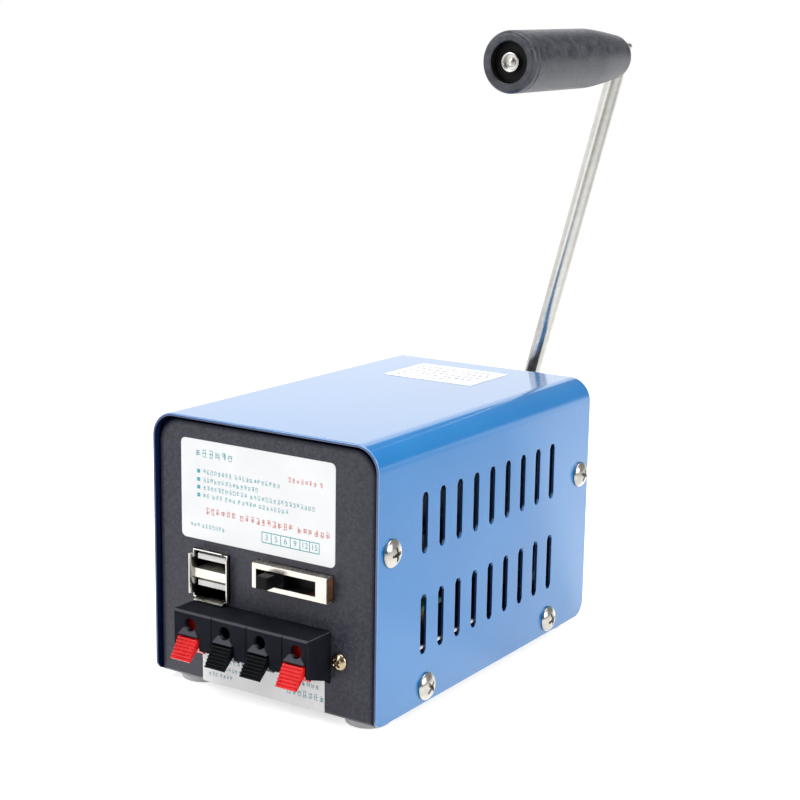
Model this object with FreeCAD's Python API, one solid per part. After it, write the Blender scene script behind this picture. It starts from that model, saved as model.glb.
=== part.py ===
"""Hand crank phone charger: a folded steel case with a crank, a two stage spur gear train, a
small generator, a regulator board, two USB sockets, a voltage switch and four spring terminals.

Millimetres. +Z is up, -Y is the front panel, +X is the right side. The origin is the point
under the middle of the case on the surface that the feet stand on. Every size that can be set
by itself is named once below, and each piece takes its seat from the piece that carries it.
"""
import FreeCAD, Part
import math
import os

V = FreeCAD.Vector
X_AXIS = V(1, 0, 0)
Y_AXIS = V(0, 1, 0)
Z_AXIS = V(0, 0, 1)

# ---------------------------------------------------------------- case, sheet metal
CASE_WIDTH = 85.0
CASE_LENGTH = 129.6
CASE_HEIGHT = 84.6            # from the lower edge of the side plates to the top
COVER_SHEET = 1.0
COVER_BEND = 8.0              # outer radius of the two top bends
COVER_FRONT_CORNER = 3.0      # rounding of the side plates' lower front corner
COVER_BACK_CORNER = 5.5
RIM_CHAMFER = 0.3
CHASSIS_SHEET = 1.0
CHASSIS_BEND = 1.8
PANEL_CHAMFER = 0.9           # stands for the same bend round the end panels
COVER_GAP = 0.15              # between the cover and the chassis inside it
PANEL_RECESS = 1.45           # both end panels stand this far inside the cover
PAN_DEPTH = 12.0              # how far the end panels' flanges reach inwards
FLOOR_FLANGE = 18.0           # height of the floor's side flanges
CORNER_RELIEF = 2.0
CUTOUT_GAP = 0.25             # round each piece that stands in a panel window

SLOT_COUNT = 9
SLOT_WIDTH = 3.3
SLOT_HEIGHT = 19.15
SLOT_PITCH = 9.79
SLOT_END_SIDES = 3            # flats in each rounded slot end
SLOT_FIRST = 24.67            # first slot from the cover's front edge
UPPER_SLOTS = 57.25           # middle of each row above the side plates' lower edge
LOWER_SLOTS = 25.7

# ---------------------------------------------------------------- fasteners
HOLE_GAP = 0.2                # round a screw in its clearance hole
THREAD_GAP = 0.05             # round a screw in the hole that it is screwed into
RUNNING_GAP = 0.05            # round a shaft in its bearing
FASTENER_SIDES = 8            # flats on the shanks of the small fasteners and in their holes
HEAD_TOP = 0.6                # width of a round screw head's top over its foot
DRUM_SIDES = 12               # flats on screw heads and on small or hidden round shapes
COVER_SCREW = 4.0
COVER_SCREW_HEAD = 8.6
COVER_SCREW_LENGTH = 5.0
COVER_SCREW_DOME = 2.4
UPPER_SCREW_INSET = 6.7       # from the cover's end edges
UPPER_SCREW_RISE = 52.2
LOWER_SCREW_INSET = 26.5
LOWER_SCREW_RISE = 5.5
SMALL_SCREW = 3.0
SMALL_SCREW_HEAD = 5.3
SMALL_SCREW_DOME = 2.0
SMALL_HEX = 5.5               # across the flats of the hidden screws' heads

FOOT_DIAMETER = 15.0
FOOT_HEIGHT = 3.0
FOOT_SIDES = 24
FOOT_SIDE_INSET = 10.5
FOOT_END_INSET = 11.2

# ---------------------------------------------------------------- USB double socket
USB_X = -20.1
USB_RISE = 27.4               # its underside above the side plates' lower edge
USB_WIDTH = 13.6
USB_HEIGHT = 15.3
USB_DEPTH = 17.0
USB_SHEET = 0.35
USB_PROUD = 1.05              # the shell's mouth in front of the panel
USB_LIP = 1.5
USB_LIP_ANGLE = 30.0
USB_LIP_INSET = 1.2
USB_DIVIDER = 2.9
USB_DIVIDER_RISE = 6.4
TONGUE_WIDTH = 11.2
TONGUE_THICKNESS = 1.75
TONGUE_GAP = 0.9              # above each tongue
TONGUE_RECESS = 0.8
USB_BLOCK_DEPTH = 5.0
USB_CONTACT = (1.2, 0.25, 7.0)
USB_CONTACT_PITCH = 2.25

# ---------------------------------------------------------------- voltage switch
SWITCH_X = 11.9
SWITCH_RISE = 39.5
SWITCH_WIDTH = 27.6
SWITCH_HEIGHT = 8.0
SWITCH_PROUD = 3.35
SWITCH_DEPTH = 8.0
SWITCH_SHEET = 0.55
SWITCH_SLOT_LEFT = 1.5        # band of metal left of the slot
SWITCH_SLOT_LENGTH = 22.1
SWITCH_SLOT_HEIGHT = 4.6
SWITCH_WALL = 0.6
SWITCH_FLOOR = 2.0
SLIDE_GAP = 0.15
SWITCH_PITCH = 3.46
SWITCH_POSITIONS = 6
KNOB_WIDTH = 4.2
KNOB_HEIGHT = 3.8
KNOB_REACH = 4.8
KNOB_ROUND = 0.35
SHUTTER_LEFT = 3.0            # reach of the shutter plate each side of the knob's middle
SHUTTER_RIGHT = 4.0
SHUTTER_THICKNESS = 2.4
SWITCH_PIN = (0.8, 0.4)
SWITCH_PIN_REACH = 3.4
SWITCH_PIN_ROWS = 4.0

# ---------------------------------------------------------------- spring terminals
TERMINAL_X = -1.0
TERMINAL_COUNT = 4
TERMINAL_PITCH = 13.4
TERMINAL_LENGTH = 51.4
TERMINAL_RISE = 10.4          # underside at the panel, above the side plates' lower edge
TERMINAL_HEIGHT = 15.8
TERMINAL_PROUD = 10.95
TERMINAL_CHIN = 4.1           # how much higher the underside is at the front
TERMINAL_EDGE = 0.6
FRONT_WALL = 1.5
TOP_WALL = 1.2
POCKET_WIDTH = 8.0
POCKET_DEPTH = 5.4
POCKET_BROW = 7.4             # height of the front wall above each lever
WIRE_HOLE = 4.2
WIRE_SHIFT = 1.2              # of the four wire holes from the block's middle
WIRE_DROP = 4.0               # hole centre below the block's top
RAMP_TOP = 4.4
RAMP_PROUD = 0.9
RAMP_HEIGHT = 2.3
GROOVE = 0.35
GROOVE_SHIFT = 1.6            # from half way between two wire holes
EAR_SPACING = 57.8
EAR_SHIFT = 0.5
EAR_THICKNESS = 1.6
EAR_BOSS = 3.4                # depth of the threaded boss behind each ear
EAR_BOSS_FLATS = 5.5
EAR_REACH = 3.8
EAR_HEIGHT = 15.0
EAR_RISE = 17.7               # height of the two fixing screws
TERMINAL_BACK = 3.0

LEVER_WIDTH = 7.6
LEVER_ARM_WIDTH = 6.8
LEVER_SHIFT = 0.5             # each lever stands this far left of its wire hole
LEVER_PIN = 2.0
LEVER_PIN_REACH = 0.6
LEVER_PIVOT_Y = 2.3           # behind the block's front face
LEVER_PIVOT_DROP = 9.0        # below the block's top
PAD_TOP = V(0, -3.1, 0.9)     # the lever's side view, from its pivot
PAD_BOTTOM = V(0, -6.7, -5.0)
PAD_LIP = V(0, -6.2, -5.4)
PAD_NOTCH = V(0, -2.1, -1.9)
TAIL_TIP = V(0, 0.6, -4.6)
TAIL_BACK = V(0, 1.7, -3.6)
ARM_FOOT = V(0, 2.6, 1.0)
ARM_BACK = V(0, 3.4, 6.6)
ARM_TOP = V(0, 2.2, 7.0)
ARM_FRONT = V(0, 0.6, 1.4)
PAD_RIBS = 6
RIB_DEPTH = 0.4
LEVER_WIRE_HOLE = 2.4
CONTACT_STRIP = (4.0, 0.5)
CONTACT_TAIL = 2.2

# ---------------------------------------------------------------- boards and what is on them
BOARD_THICKNESS = 1.6
BOARD_WIDTH = 72.0
BOARD_LENGTH = 38.0
BOARD_FRONT_GAP = 4.6         # from the panel's inner face
STANDOFF_FLATS = 5.5
STANDOFF_INSET = 4.0
SELECTOR_HEIGHT = 19.0
SELECTOR_MARGIN = 1.6
CAPACITOR_DIAMETER = 10.0
CAPACITOR_HEIGHT = 17.0
CAPACITOR_X = (-6.0, 6.5)
CAPACITOR_INSET = 8.0         # from the board's rear edge
CHOKE_X = -25.0
CHOKE_RADIUS = 6.5
CHOKE_SECTION = 2.4
CHOKE_WIRE = 0.9
CHOKE_TURNS = 6
RECTIFIER_X = -9.0
RECTIFIER_SIZE = (4.5, 15.0, 11.0)
RECTIFIER_LIFT = 2.0
LEG = 0.8                     # square leads of the parts on the board
LEG_PITCH = 2.54
REGULATOR_SIZE = (4.4, 10.0, 9.0)
REGULATOR_TAB = (1.3, 10.0, 15.5)
REGULATOR_LIFT = 4.0
HEAT_SINK_X = 25.0
HEAT_SINK_BASE = 2.5
HEAT_SINK_REACH = 10.0
HEAT_SINK_LENGTH = 25.0
HEAT_SINK_HEIGHT = 22.0
HEAT_SINK_FINS = 6
HEAT_SINK_FIN = 1.2
HEAT_SINK_BACK = 4.0

# ---------------------------------------------------------------- gear train
MODULE = 0.7
PRESSURE_ANGLE = 25.0
BACKLASH = 0.10
DRIVE_TEETH = 60
PINION_TEETH = 12
WHEEL_TEETH = 40
SHAFT_RISE = 42.3             # crank shaft above the side plates' lower edge
LAYSHAFT_ANGLE = 138.0        # seen from the front, from +X
GENERATOR_ANGLE = -90.0
PLATE_THICKNESS = 3.0
PLATE_SIDE_GAP = 0.85         # between a gear plate and the panels' side flanges
PLATE_ROOF_GAP = 1.45         # between a gear plate and the panels' upper flange
PLATE_FOOT = 16.0             # lower edge of the plates above the side plates' lower edge
PLATE_CORNER = 3.0
PLATE_NOTCH = (3.0, 6.0)      # each side of the rear plate, round the cover's upper rear screws
GEARBOX_DEPTH = 22.5          # between the two plates
PILLAR_FLATS = 6.5
PILLAR_SIDE_INSET = 3.5
PILLAR_END_INSET = 4.5
CRANK_SHAFT = 8.0
LAYSHAFT = 5.0
DRIVE_GEAR_FACE = 6.0
DRIVE_GEAR_HUB = 18.0
DRIVE_HUB_GAP = 0.2           # between the hub's end and the front bush
DRIVE_GEAR_BACK = 3.0         # from the rear plate to the gear
WEB_HOLES = 5
WEB_HOLE = 8.0
PINION_FLANK = 2              # straight runs that follow each involute flank
WHEEL_FLANK = 1
WHEEL_FACE = 5.0
PINION_EXTRA = 1.0            # how much wider a pinion is than the gear that it meets
STAGE_GAP = 5.0               # between the two stages
BUSH_WALL = 2.0
BUSH_REACH = 2.4              # of the front bush past its plate
GEAR_PIN = 2.0
CRANK_END_PLAY = 0.2          # between the rear bush and the crank's hub
SHAFT_END_GAP = 0.5           # from a shaft's end to the outer face of its plate
PLATE_SCREW_GRIP = 6.5

# ---------------------------------------------------------------- generator
CAN_DIAMETER = 36.0
CAN_LENGTH = 38.0
CAN_WALL = 1.2
CAN_BOSS = 13.0
CAN_BOSS_HEIGHT = 2.2
CAN_SCREW_SPACING = 25.0
CAN_SCREW_ANGLE = 45.0        # of the line through both screws, from +X
MAGNET_THICKNESS = 4.5
MAGNET_ARC = 130.0
AIR_GAP = 0.5
CORE_LENGTH = 18.0
CORE_END_GAP = 3.0            # between the rear windings and the can's closed end
CORE_POLES = 5
CORE_SLOT = 2.0
CORE_HUB = 11.0
POLE_SHOE = 1.6
WINDING_REACH = 4.0
WINDING_GAP = 1.5             # from the shaft
CORE_WEB = 3.0
COMMUTATOR_GAP = 0.5
COMMUTATOR_DIAMETER = 9.0
COMMUTATOR_LENGTH = 4.5
ROTOR_SHAFT = 3.2
END_CAP_THICKNESS = 4.0
END_CAP_RIM = 2.0
BRUSH = (4.0, 5.0)

# ---------------------------------------------------------------- crank
ARM_STANDOFF = 16.4           # the rod's axis behind the cover's rear edge
ARM_DIAMETER = 6.0
CRANK_REACH = 157.4           # from the shaft to the grip's axis, along the rod
CRANK_LEAN = 15.88            # degrees from upright towards +X
CRANK_RAKE = 1.95             # degrees of lean towards the front panel's side
ARM_END_REACH = 5.0
ARM_EDGE = 0.8
ARM_FLAT = 4.8                # thickness left where the grip's pin goes through
ARM_FLAT_LENGTH = 12.0
HUB_DIAMETER = 18.0
HUB_LENGTH = 21.0
HUB_BACK = 8.3                # behind the rod's axis
HUB_EDGE = 1.0
SHAFT_TIP_GAP = 0.5
SET_SCREW = 5.0
SET_SCREW_LENGTH = 5.0
HEX_SOCKET = 2.5
HEX_SOCKET_DEPTH = 2.2
GRIP_DIAMETER = 18.9
GRIP_TIP_DIAMETER = 14.8
GRIP_LENGTH = 69.5
GRIP_TAPER = 23.5
GRIP_ROUND = 1.6
GRIP_TIP_ROUND = 4.0
GRIP_TAPER_STEPS = 4
GRIP_TIP_STEPS = 3
GRIP_RECESS = 12.6
GRIP_RECESS_DEPTH = 3.0
GRIP_PIN = 5.0
GRIP_PIN_HEAD = 6.8
GRIP_PIN_HEAD_LENGTH = 1.8
GRIP_PIN_DIMPLE = 4.4
GRIP_PIN_DIMPLE_DEPTH = 1.0
GRIP_PIN_STUD = 2.5
GRIP_BORE_GAP = 0.08
GRIP_PLAY = 0.3
GRIP_SPACER = 9.0
GRIP_SPACER_LENGTH = 2.2
GRIP_NUT = 4.4                # round slotted nut, sunk in the rod
GRIP_NUT_HEIGHT = 1.6
GRIP_NUT_SLOT = (0.7, 0.6)

# ---------------------------------------------------------------- places that follow
FRONT = -CASE_LENGTH / 2
BACK = CASE_LENGTH / 2
SILL = FOOT_HEIGHT                         # lower edge of the side plates
ROOF = SILL + CASE_HEIGHT
SIDE = CASE_WIDTH / 2
COVER_INSIDE = SIDE - COVER_SHEET
CHASSIS_SIDE = COVER_INSIDE - COVER_GAP
FLANGE_INSIDE = CHASSIS_SIDE - CHASSIS_SHEET
CHASSIS_ROOF = ROOF - COVER_SHEET - COVER_GAP
CHASSIS_ARCH = COVER_BEND - COVER_SHEET - COVER_GAP
PANEL = FRONT + PANEL_RECESS               # outer face of the front panel
PANEL_INSIDE = PANEL + CHASSIS_SHEET
REAR_PANEL = BACK - PANEL_RECESS
REAR_INSIDE = REAR_PANEL - CHASSIS_SHEET
FLOOR_TOP = SILL + CHASSIS_SHEET

BOARD_TOP = SILL + USB_RISE
BOARD_UNDER = BOARD_TOP - BOARD_THICKNESS
BOARD_FRONT = PANEL_INSIDE + BOARD_FRONT_GAP
BOARD_REAR = BOARD_FRONT + BOARD_LENGTH

PLATE_SIDE = FLANGE_INSIDE - PLATE_SIDE_GAP
PLATE_LOW = SILL + PLATE_FOOT
PLATE_HIGH = CHASSIS_ROOF - CHASSIS_SHEET - PLATE_ROOF_GAP
REAR_PLATE = REAR_INSIDE - PLATE_THICKNESS            # inner face of the rear gear plate
FRONT_PLATE = REAR_PLATE - GEARBOX_DEPTH - PLATE_THICKNESS
SHAFT_Z = SILL + SHAFT_RISE
STAGE_ONE = MODULE * (DRIVE_TEETH + PINION_TEETH) / 2
STAGE_TWO = MODULE * (WHEEL_TEETH + PINION_TEETH) / 2
LAY_X = STAGE_ONE * math.cos(math.radians(LAYSHAFT_ANGLE))
LAY_Z = SHAFT_Z + STAGE_ONE * math.sin(math.radians(LAYSHAFT_ANGLE))
ROTOR_X = LAY_X + STAGE_TWO * math.cos(math.radians(GENERATOR_ANGLE))
ROTOR_Z = LAY_Z + STAGE_TWO * math.sin(math.radians(GENERATOR_ANGLE))
DRIVE_GEAR_Y = REAR_PLATE - DRIVE_GEAR_BACK - DRIVE_GEAR_FACE
WHEEL_Y = DRIVE_GEAR_Y - STAGE_GAP - WHEEL_FACE

TERMINAL_FACE = PANEL - TERMINAL_PROUD
TERMINAL_TOP = SILL + TERMINAL_RISE + TERMINAL_HEIGHT
PIVOT_Y = TERMINAL_FACE + LEVER_PIVOT_Y
PIVOT_Z = TERMINAL_TOP - LEVER_PIVOT_DROP
WIRE_XS = [TERMINAL_X + WIRE_SHIFT + (i - (TERMINAL_COUNT - 1) / 2) * TERMINAL_PITCH
           for i in range(TERMINAL_COUNT)]
POCKET_BACK = TERMINAL_FACE + FRONT_WALL + POCKET_DEPTH

SWITCH_FACE = PANEL - SWITCH_PROUD
SWITCH_Z = SILL + SWITCH_RISE
SWITCH_LEFT = SWITCH_X - SWITCH_WIDTH / 2
SWITCH_REAR = SWITCH_FACE + SWITCH_DEPTH
SLOT_LEFT = SWITCH_LEFT + SWITCH_SLOT_LEFT
KNOB_FIRST = SLOT_LEFT + KNOB_WIDTH / 2 + SLIDE_GAP
KNOB_X = KNOB_FIRST + SWITCH_PITCH         # the knob stands at the second of six positions

ARM_Y = BACK + ARM_STANDOFF
ARM_START = V(0, ARM_Y, SHAFT_Z)
ARM_DIRECTION = FreeCAD.Rotation(Y_AXIS, CRANK_LEAN).multVec(
    V(0, -math.sin(math.radians(CRANK_RAKE)), math.cos(math.radians(CRANK_RAKE))))
GRIP_AXIS = FreeCAD.Rotation(Y_AXIS, CRANK_LEAN).multVec(
    V(0, math.cos(math.radians(CRANK_RAKE)), math.sin(math.radians(CRANK_RAKE))))
ARM_ACROSS = ARM_DIRECTION.cross(GRIP_AXIS)
GRIP_CROSSING = ARM_START + ARM_DIRECTION * CRANK_REACH     # of the rod's axis and the grip's
HUB_FRONT = ARM_Y + HUB_BACK - HUB_LENGTH
PIN_SHOULDER = -ARM_FLAT / 2               # places along the grip's axis count from the crossing
GRIP_MOUTH = PIN_SHOULDER - GRIP_SPACER_LENGTH - GRIP_PLAY - GRIP_LENGTH


# ---------------------------------------------------------------- shapes used by many pieces
def box(x0, x1, y0, y1, z0, z1):
    """Block between two corners."""
    return Part.makeBox(x1 - x0, y1 - y0, z1 - z0, V(x0, y0, z0))


def rod(diameter, start, end):
    """Round bar between two points."""
    run = end.sub(start)
    return Part.makeCylinder(diameter / 2, run.Length, start, run)


def tube(outer, inner, start, end):
    """Round bar with a bore."""
    return rod(outer, start, end).cut(rod(inner, start, end))


def prism(points, run):
    """Flat outline swept along a straight run."""
    return Part.Face(Part.makePolygon(points + [points[0]])).extrude(run)


def turned(profile, origin, axis):
    """Turned body: profile is (distance along the axis, radius) from one end to the other."""
    side = X_AXIS if abs(axis.x) < 0.5 else Z_AXIS
    side = (side - axis * side.dot(axis)).normalize()
    points = [origin + axis * s + side * r for s, r in profile]
    return Part.Face(Part.makePolygon(points + [points[0]])).revolve(origin, axis, 360)


def flat_sided(sides, radius, start, run):
    """Bar with flat sides along a run; radius is that of its corners."""
    corner = run.cross(X_AXIS if abs(run.x) < 0.5 * run.Length else Z_AXIS).normalize() * radius
    turn = FreeCAD.Rotation(run, 360 / sides)
    points = []
    for _ in range(sides):
        points.append(start + corner)
        corner = turn.multVec(corner)
    return prism(points, run)


def hexagon(flats, start, run):
    """Hexagonal bar, measured across its flats."""
    return flat_sided(6, flats / math.sqrt(3), start, run)


def shank(diameter, start, run):
    """Body of a small fastener or lead, with eight flats inside its diameter."""
    return flat_sided(FASTENER_SIDES, diameter / 2, start, run)


def shank_hole(diameter, start, run):
    """Hole for a shank, with eight flats outside its diameter."""
    return flat_sided(FASTENER_SIDES, diameter / 2 / math.cos(math.pi / FASTENER_SIDES), start, run)


def drum(diameter, start, run):
    """Small or hidden round body drawn with twelve flats."""
    return flat_sided(DRUM_SIDES, diameter / 2, start, run)


def arch(half, low, high, radius, y, depth):
    """Upright slab with two rounded top corners, from y towards +Y."""
    bend = radius * math.sqrt(0.5)
    corner_x = half - radius
    corner_z = high - radius
    left_arc = Part.Arc(V(-half, y, corner_z), V(-corner_x - bend, y, corner_z + bend),
                        V(-corner_x, y, high))
    right_arc = Part.Arc(V(corner_x, y, high), V(corner_x + bend, y, corner_z + bend),
                         V(half, y, corner_z))
    edges = [
        Part.makeLine(V(-half, y, low), V(-half, y, corner_z)),
        left_arc.toShape(),
        Part.makeLine(V(-corner_x, y, high), V(corner_x, y, high)),
        right_arc.toShape(),
        Part.makeLine(V(half, y, corner_z), V(half, y, low)),
        Part.makeLine(V(half, y, low), V(-half, y, low)),
    ]
    return Part.Face(Part.Wire(edges)).extrude(V(0, depth, 0))


def edges_at(shape, y):
    """Edges that lie wholly at one depth."""
    return [e for e in shape.Edges if abs(e.BoundBox.YMin - y) < 1e-4 and abs(e.BoundBox.YMax - y) < 1e-4]


def union(shapes):
    """One solid from pieces that touch or overlap."""
    joined = shapes[0].multiFuse(shapes[1:]) if len(shapes) > 1 else shapes[0]
    return joined.removeSplitter()


def group(shapes):
    """Several separate solids that share a node."""
    return Part.makeCompound(shapes)


def screw(seat, axis, diameter, length, head, dome):
    """Round head screw: seat is under the head, and axis points out of the head."""
    corner = axis.cross(X_AXIS if abs(axis.x) < 0.5 else Z_AXIS).normalize() * (head / 2)
    turn = FreeCAD.Rotation(axis, 360 / DRUM_SIDES)
    rims = []
    for lift, share in ((0, 1.0), (dome, HEAD_TOP)):
        points = []
        for _ in range(DRUM_SIDES):
            points.append(seat + corner * share + axis * lift)
            corner = turn.multVec(corner)
        rims.append(Part.makePolygon(points + [points[0]]))
    return Part.makeLoft(rims, True, True).fuse(shank(diameter, seat, axis * -length))


def hex_screw(seat, axis, length):
    """Small hexagon head screw, used where it doesn't show."""
    head = hexagon(SMALL_HEX, seat, axis * SMALL_SCREW_DOME)
    return head.fuse(shank(SMALL_SCREW, seat, axis * -length))


def nut(flats, diameter, seat, axis, height):
    """Hexagon nut with its bore, from its seat along axis."""
    return hexagon(flats, seat, axis * height).cut(shank_hole(diameter, seat, axis * height))


# ---------------------------------------------------------------- case
def cover_screw_seats():
    """Places of the eight side screws on the cover: point and outward direction."""
    seats = []
    for side in (-1, 1):
        for inset, rise in ((UPPER_SCREW_INSET, UPPER_SCREW_RISE), (LOWER_SCREW_INSET, LOWER_SCREW_RISE)):
            for y in (FRONT + inset, BACK - inset):
                seats.append((V(side * SIDE, y, SILL + rise), V(side, 0, 0)))
    return seats


def foot_places():
    """Centres of the four feet on the floor's underside."""
    x = SIDE - FOOT_SIDE_INSET
    y = BACK - FOOT_END_INSET
    return [V(i * x, j * y, SILL) for i in (-1, 1) for j in (-1, 1)]


def standoff_places():
    """Centres of the four board standoffs on the floor."""
    x = BOARD_WIDTH / 2 - STANDOFF_INSET
    return [V(i * x, y, FLOOR_TOP) for i in (-1, 1)
            for y in (BOARD_FRONT + STANDOFF_INSET, BOARD_REAR - STANDOFF_INSET)]


def pillar_places():
    """Centres of the gearbox pillars at the rear plate's inner face."""
    x = PLATE_SIDE - PILLAR_SIDE_INSET
    heights = (PLATE_LOW + PILLAR_END_INSET, PLATE_HIGH - PILLAR_END_INSET)
    return [V(i * x, REAR_PLATE, z) for i in (-1, 1) for z in heights]


def ear_places():
    """Centres of the terminal block's two fixing screws on the panel."""
    return [V(TERMINAL_X + EAR_SHIFT + i * EAR_SPACING / 2, PANEL, SILL + EAR_RISE) for i in (-1, 1)]


def vent_slot(y, z):
    """Tool that cuts one slot with rounded ends through both sides."""
    radius = SLOT_WIDTH / 2
    reach = SLOT_HEIGHT / 2 - radius
    points = []
    for end in (0, 1):
        for step in range(SLOT_END_SIDES + 1):
            angle = math.pi * (end + step / SLOT_END_SIDES)
            points.append(V(-SIDE - 1, y + radius * math.cos(angle),
                            z + (reach if end == 0 else -reach) + radius * math.sin(angle)))
    return prism(points, X_AXIS * (CASE_WIDTH + 2))


def cover():
    """Folded sheet over the top and both sides, with two rows of vents in each side."""
    sheet = arch(SIDE, SILL, ROOF, COVER_BEND, FRONT, CASE_LENGTH)
    inside = arch(COVER_INSIDE, SILL - 1, ROOF - COVER_SHEET, COVER_BEND - COVER_SHEET, FRONT - 1,
                  CASE_LENGTH + 2)
    sheet = sheet.cut(inside)
    for end, inward, radius in ((FRONT, 1, COVER_FRONT_CORNER), (BACK, -1, COVER_BACK_CORNER)):
        low_y = min(end, end + inward * radius)
        corner = box(-SIDE - 1, SIDE + 1, low_y, low_y + radius, SILL - 1, SILL + radius)
        hub = V(-SIDE - 1, end + inward * radius, SILL + radius)
        corner = corner.cut(rod(2 * radius, hub, hub + X_AXIS * (CASE_WIDTH + 2)))
        sheet = sheet.cut(corner)
    rims = [e for y in (FRONT, BACK) for e in edges_at(sheet, y)
            if abs(e.BoundBox.XMin) > COVER_INSIDE + COVER_SHEET / 2
            or abs(e.BoundBox.XMax) > COVER_INSIDE + COVER_SHEET / 2
            or e.BoundBox.ZMin > ROOF - COVER_SHEET / 2]
    sheet = sheet.makeChamfer(RIM_CHAMFER, rims)
    cuts = []
    for i in range(SLOT_COUNT):
        y = FRONT + SLOT_FIRST + i * SLOT_PITCH
        for middle in (UPPER_SLOTS, LOWER_SLOTS):
            cuts.append(vent_slot(y, SILL + middle))
    for seat, out in cover_screw_seats():
        cuts.append(shank_hole(COVER_SCREW + 2 * HOLE_GAP, seat + out, out * -(COVER_SHEET + 2)))
    return sheet.cut(group(cuts))


def end_pan():
    """Front panel with a flange folded back all round it."""
    pan = arch(CHASSIS_SIDE, SILL, CHASSIS_ROOF, CHASSIS_ARCH, PANEL, PAN_DEPTH)
    pan = pan.makeChamfer(PANEL_CHAMFER, edges_at(pan, PANEL))
    hollow = arch(FLANGE_INSIDE, FLOOR_TOP, CHASSIS_ROOF - CHASSIS_SHEET, CHASSIS_ARCH - CHASSIS_SHEET,
                  PANEL_INSIDE, PAN_DEPTH)
    return pan.cut(hollow)


def floor_channel():
    """Floor with a flange folded up along each side, notched clear of the end pans."""
    start = PANEL + PAN_DEPTH
    run = V(0, CASE_LENGTH - 2 * (start - FRONT), 0)
    low = SILL + CHASSIS_BEND
    high = SILL + FLOOR_FLANGE
    outline = [V(-CHASSIS_SIDE, start, SILL), V(CHASSIS_SIDE, start, SILL),
               V(CHASSIS_SIDE, start, high), V(-CHASSIS_SIDE, start, high)]
    channel = prism(outline, run)
    folds = [e for e in channel.Edges if e.BoundBox.ZMax < SILL + 1e-4 and e.BoundBox.YLength > run.y / 2]
    channel = channel.makeFillet(CHASSIS_BEND, folds)
    channel = channel.cut(box(-FLANGE_INSIDE, FLANGE_INSIDE, start - 1, start + run.y + 1,
                              FLOOR_TOP, high + 1))
    for y in (start, start + run.y - CORNER_RELIEF):
        channel = channel.cut(box(-SIDE, SIDE, y, y + CORNER_RELIEF, low, high + 1))
    return channel


def chassis():
    """Floor, front panel and rear panel of one folded sheet, with its windows and holes."""
    front = end_pan()
    rear = front.mirror(V(0, 0, 0), Y_AXIS)
    sheet = union([front, rear, floor_channel()])
    cuts = []
    for seat, out in cover_screw_seats():
        cuts.append(shank_hole(COVER_SCREW + 2 * THREAD_GAP, seat, out * -(COVER_SHEET + 4)))
    for place in standoff_places():
        low = V(place.x, place.y, SILL - 1)
        cuts.append(shank_hole(SMALL_SCREW + 2 * THREAD_GAP, low, Z_AXIS * (CHASSIS_SHEET + 2)))
    for place in ear_places():
        cuts.append(shank_hole(SMALL_SCREW + 2 * HOLE_GAP, place - Y_AXIS, Y_AXIS * (CHASSIS_SHEET + 2)))
    for place in pillar_places():
        start = V(place.x, REAR_INSIDE - 1, place.z)
        cuts.append(shank_hole(SMALL_SCREW + 2 * HOLE_GAP, start, Y_AXIS * (CHASSIS_SHEET + 2)))
    bush = CRANK_SHAFT + 2 * BUSH_WALL + 2 * CUTOUT_GAP
    cuts.append(rod(bush, V(0, REAR_INSIDE - 1, SHAFT_Z), V(0, REAR_PANEL + 1, SHAFT_Z)))
    y0 = PANEL - 1
    y1 = PANEL_INSIDE + 1
    half = USB_WIDTH / 2 + CUTOUT_GAP
    cuts.append(box(USB_X - half, USB_X + half, y0, y1, BOARD_TOP - CUTOUT_GAP,
                    BOARD_TOP + USB_HEIGHT + CUTOUT_GAP))
    half = SWITCH_WIDTH / 2 + CUTOUT_GAP
    rise = SWITCH_HEIGHT / 2 + CUTOUT_GAP
    cuts.append(box(SWITCH_X - half, SWITCH_X + half, y0, y1, SWITCH_Z - rise, SWITCH_Z + rise))
    half = TERMINAL_LENGTH / 2 + CUTOUT_GAP
    cuts.append(box(TERMINAL_X - half, TERMINAL_X + half, y0, y1,
                    TERMINAL_TOP - TERMINAL_HEIGHT - CUTOUT_GAP, TERMINAL_TOP + CUTOUT_GAP))
    return sheet.cut(group(cuts)).removeSplitter()


def cover_screws():
    """Eight truss head screws through the cover into the chassis flanges."""
    return group([screw(seat, out, COVER_SCREW, COVER_SCREW_LENGTH, COVER_SCREW_HEAD, COVER_SCREW_DOME)
                  for seat, out in cover_screw_seats()])


def rubber_feet():
    """Four round rubber feet stuck under the floor."""
    return group([flat_sided(FOOT_SIDES, FOOT_DIAMETER / 2, place, Z_AXIS * -FOOT_HEIGHT)
                  for place in foot_places()])


# ---------------------------------------------------------------- USB double socket
def usb_mouth():
    """Depth of the socket's mouth."""
    return PANEL - USB_PROUD


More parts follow.
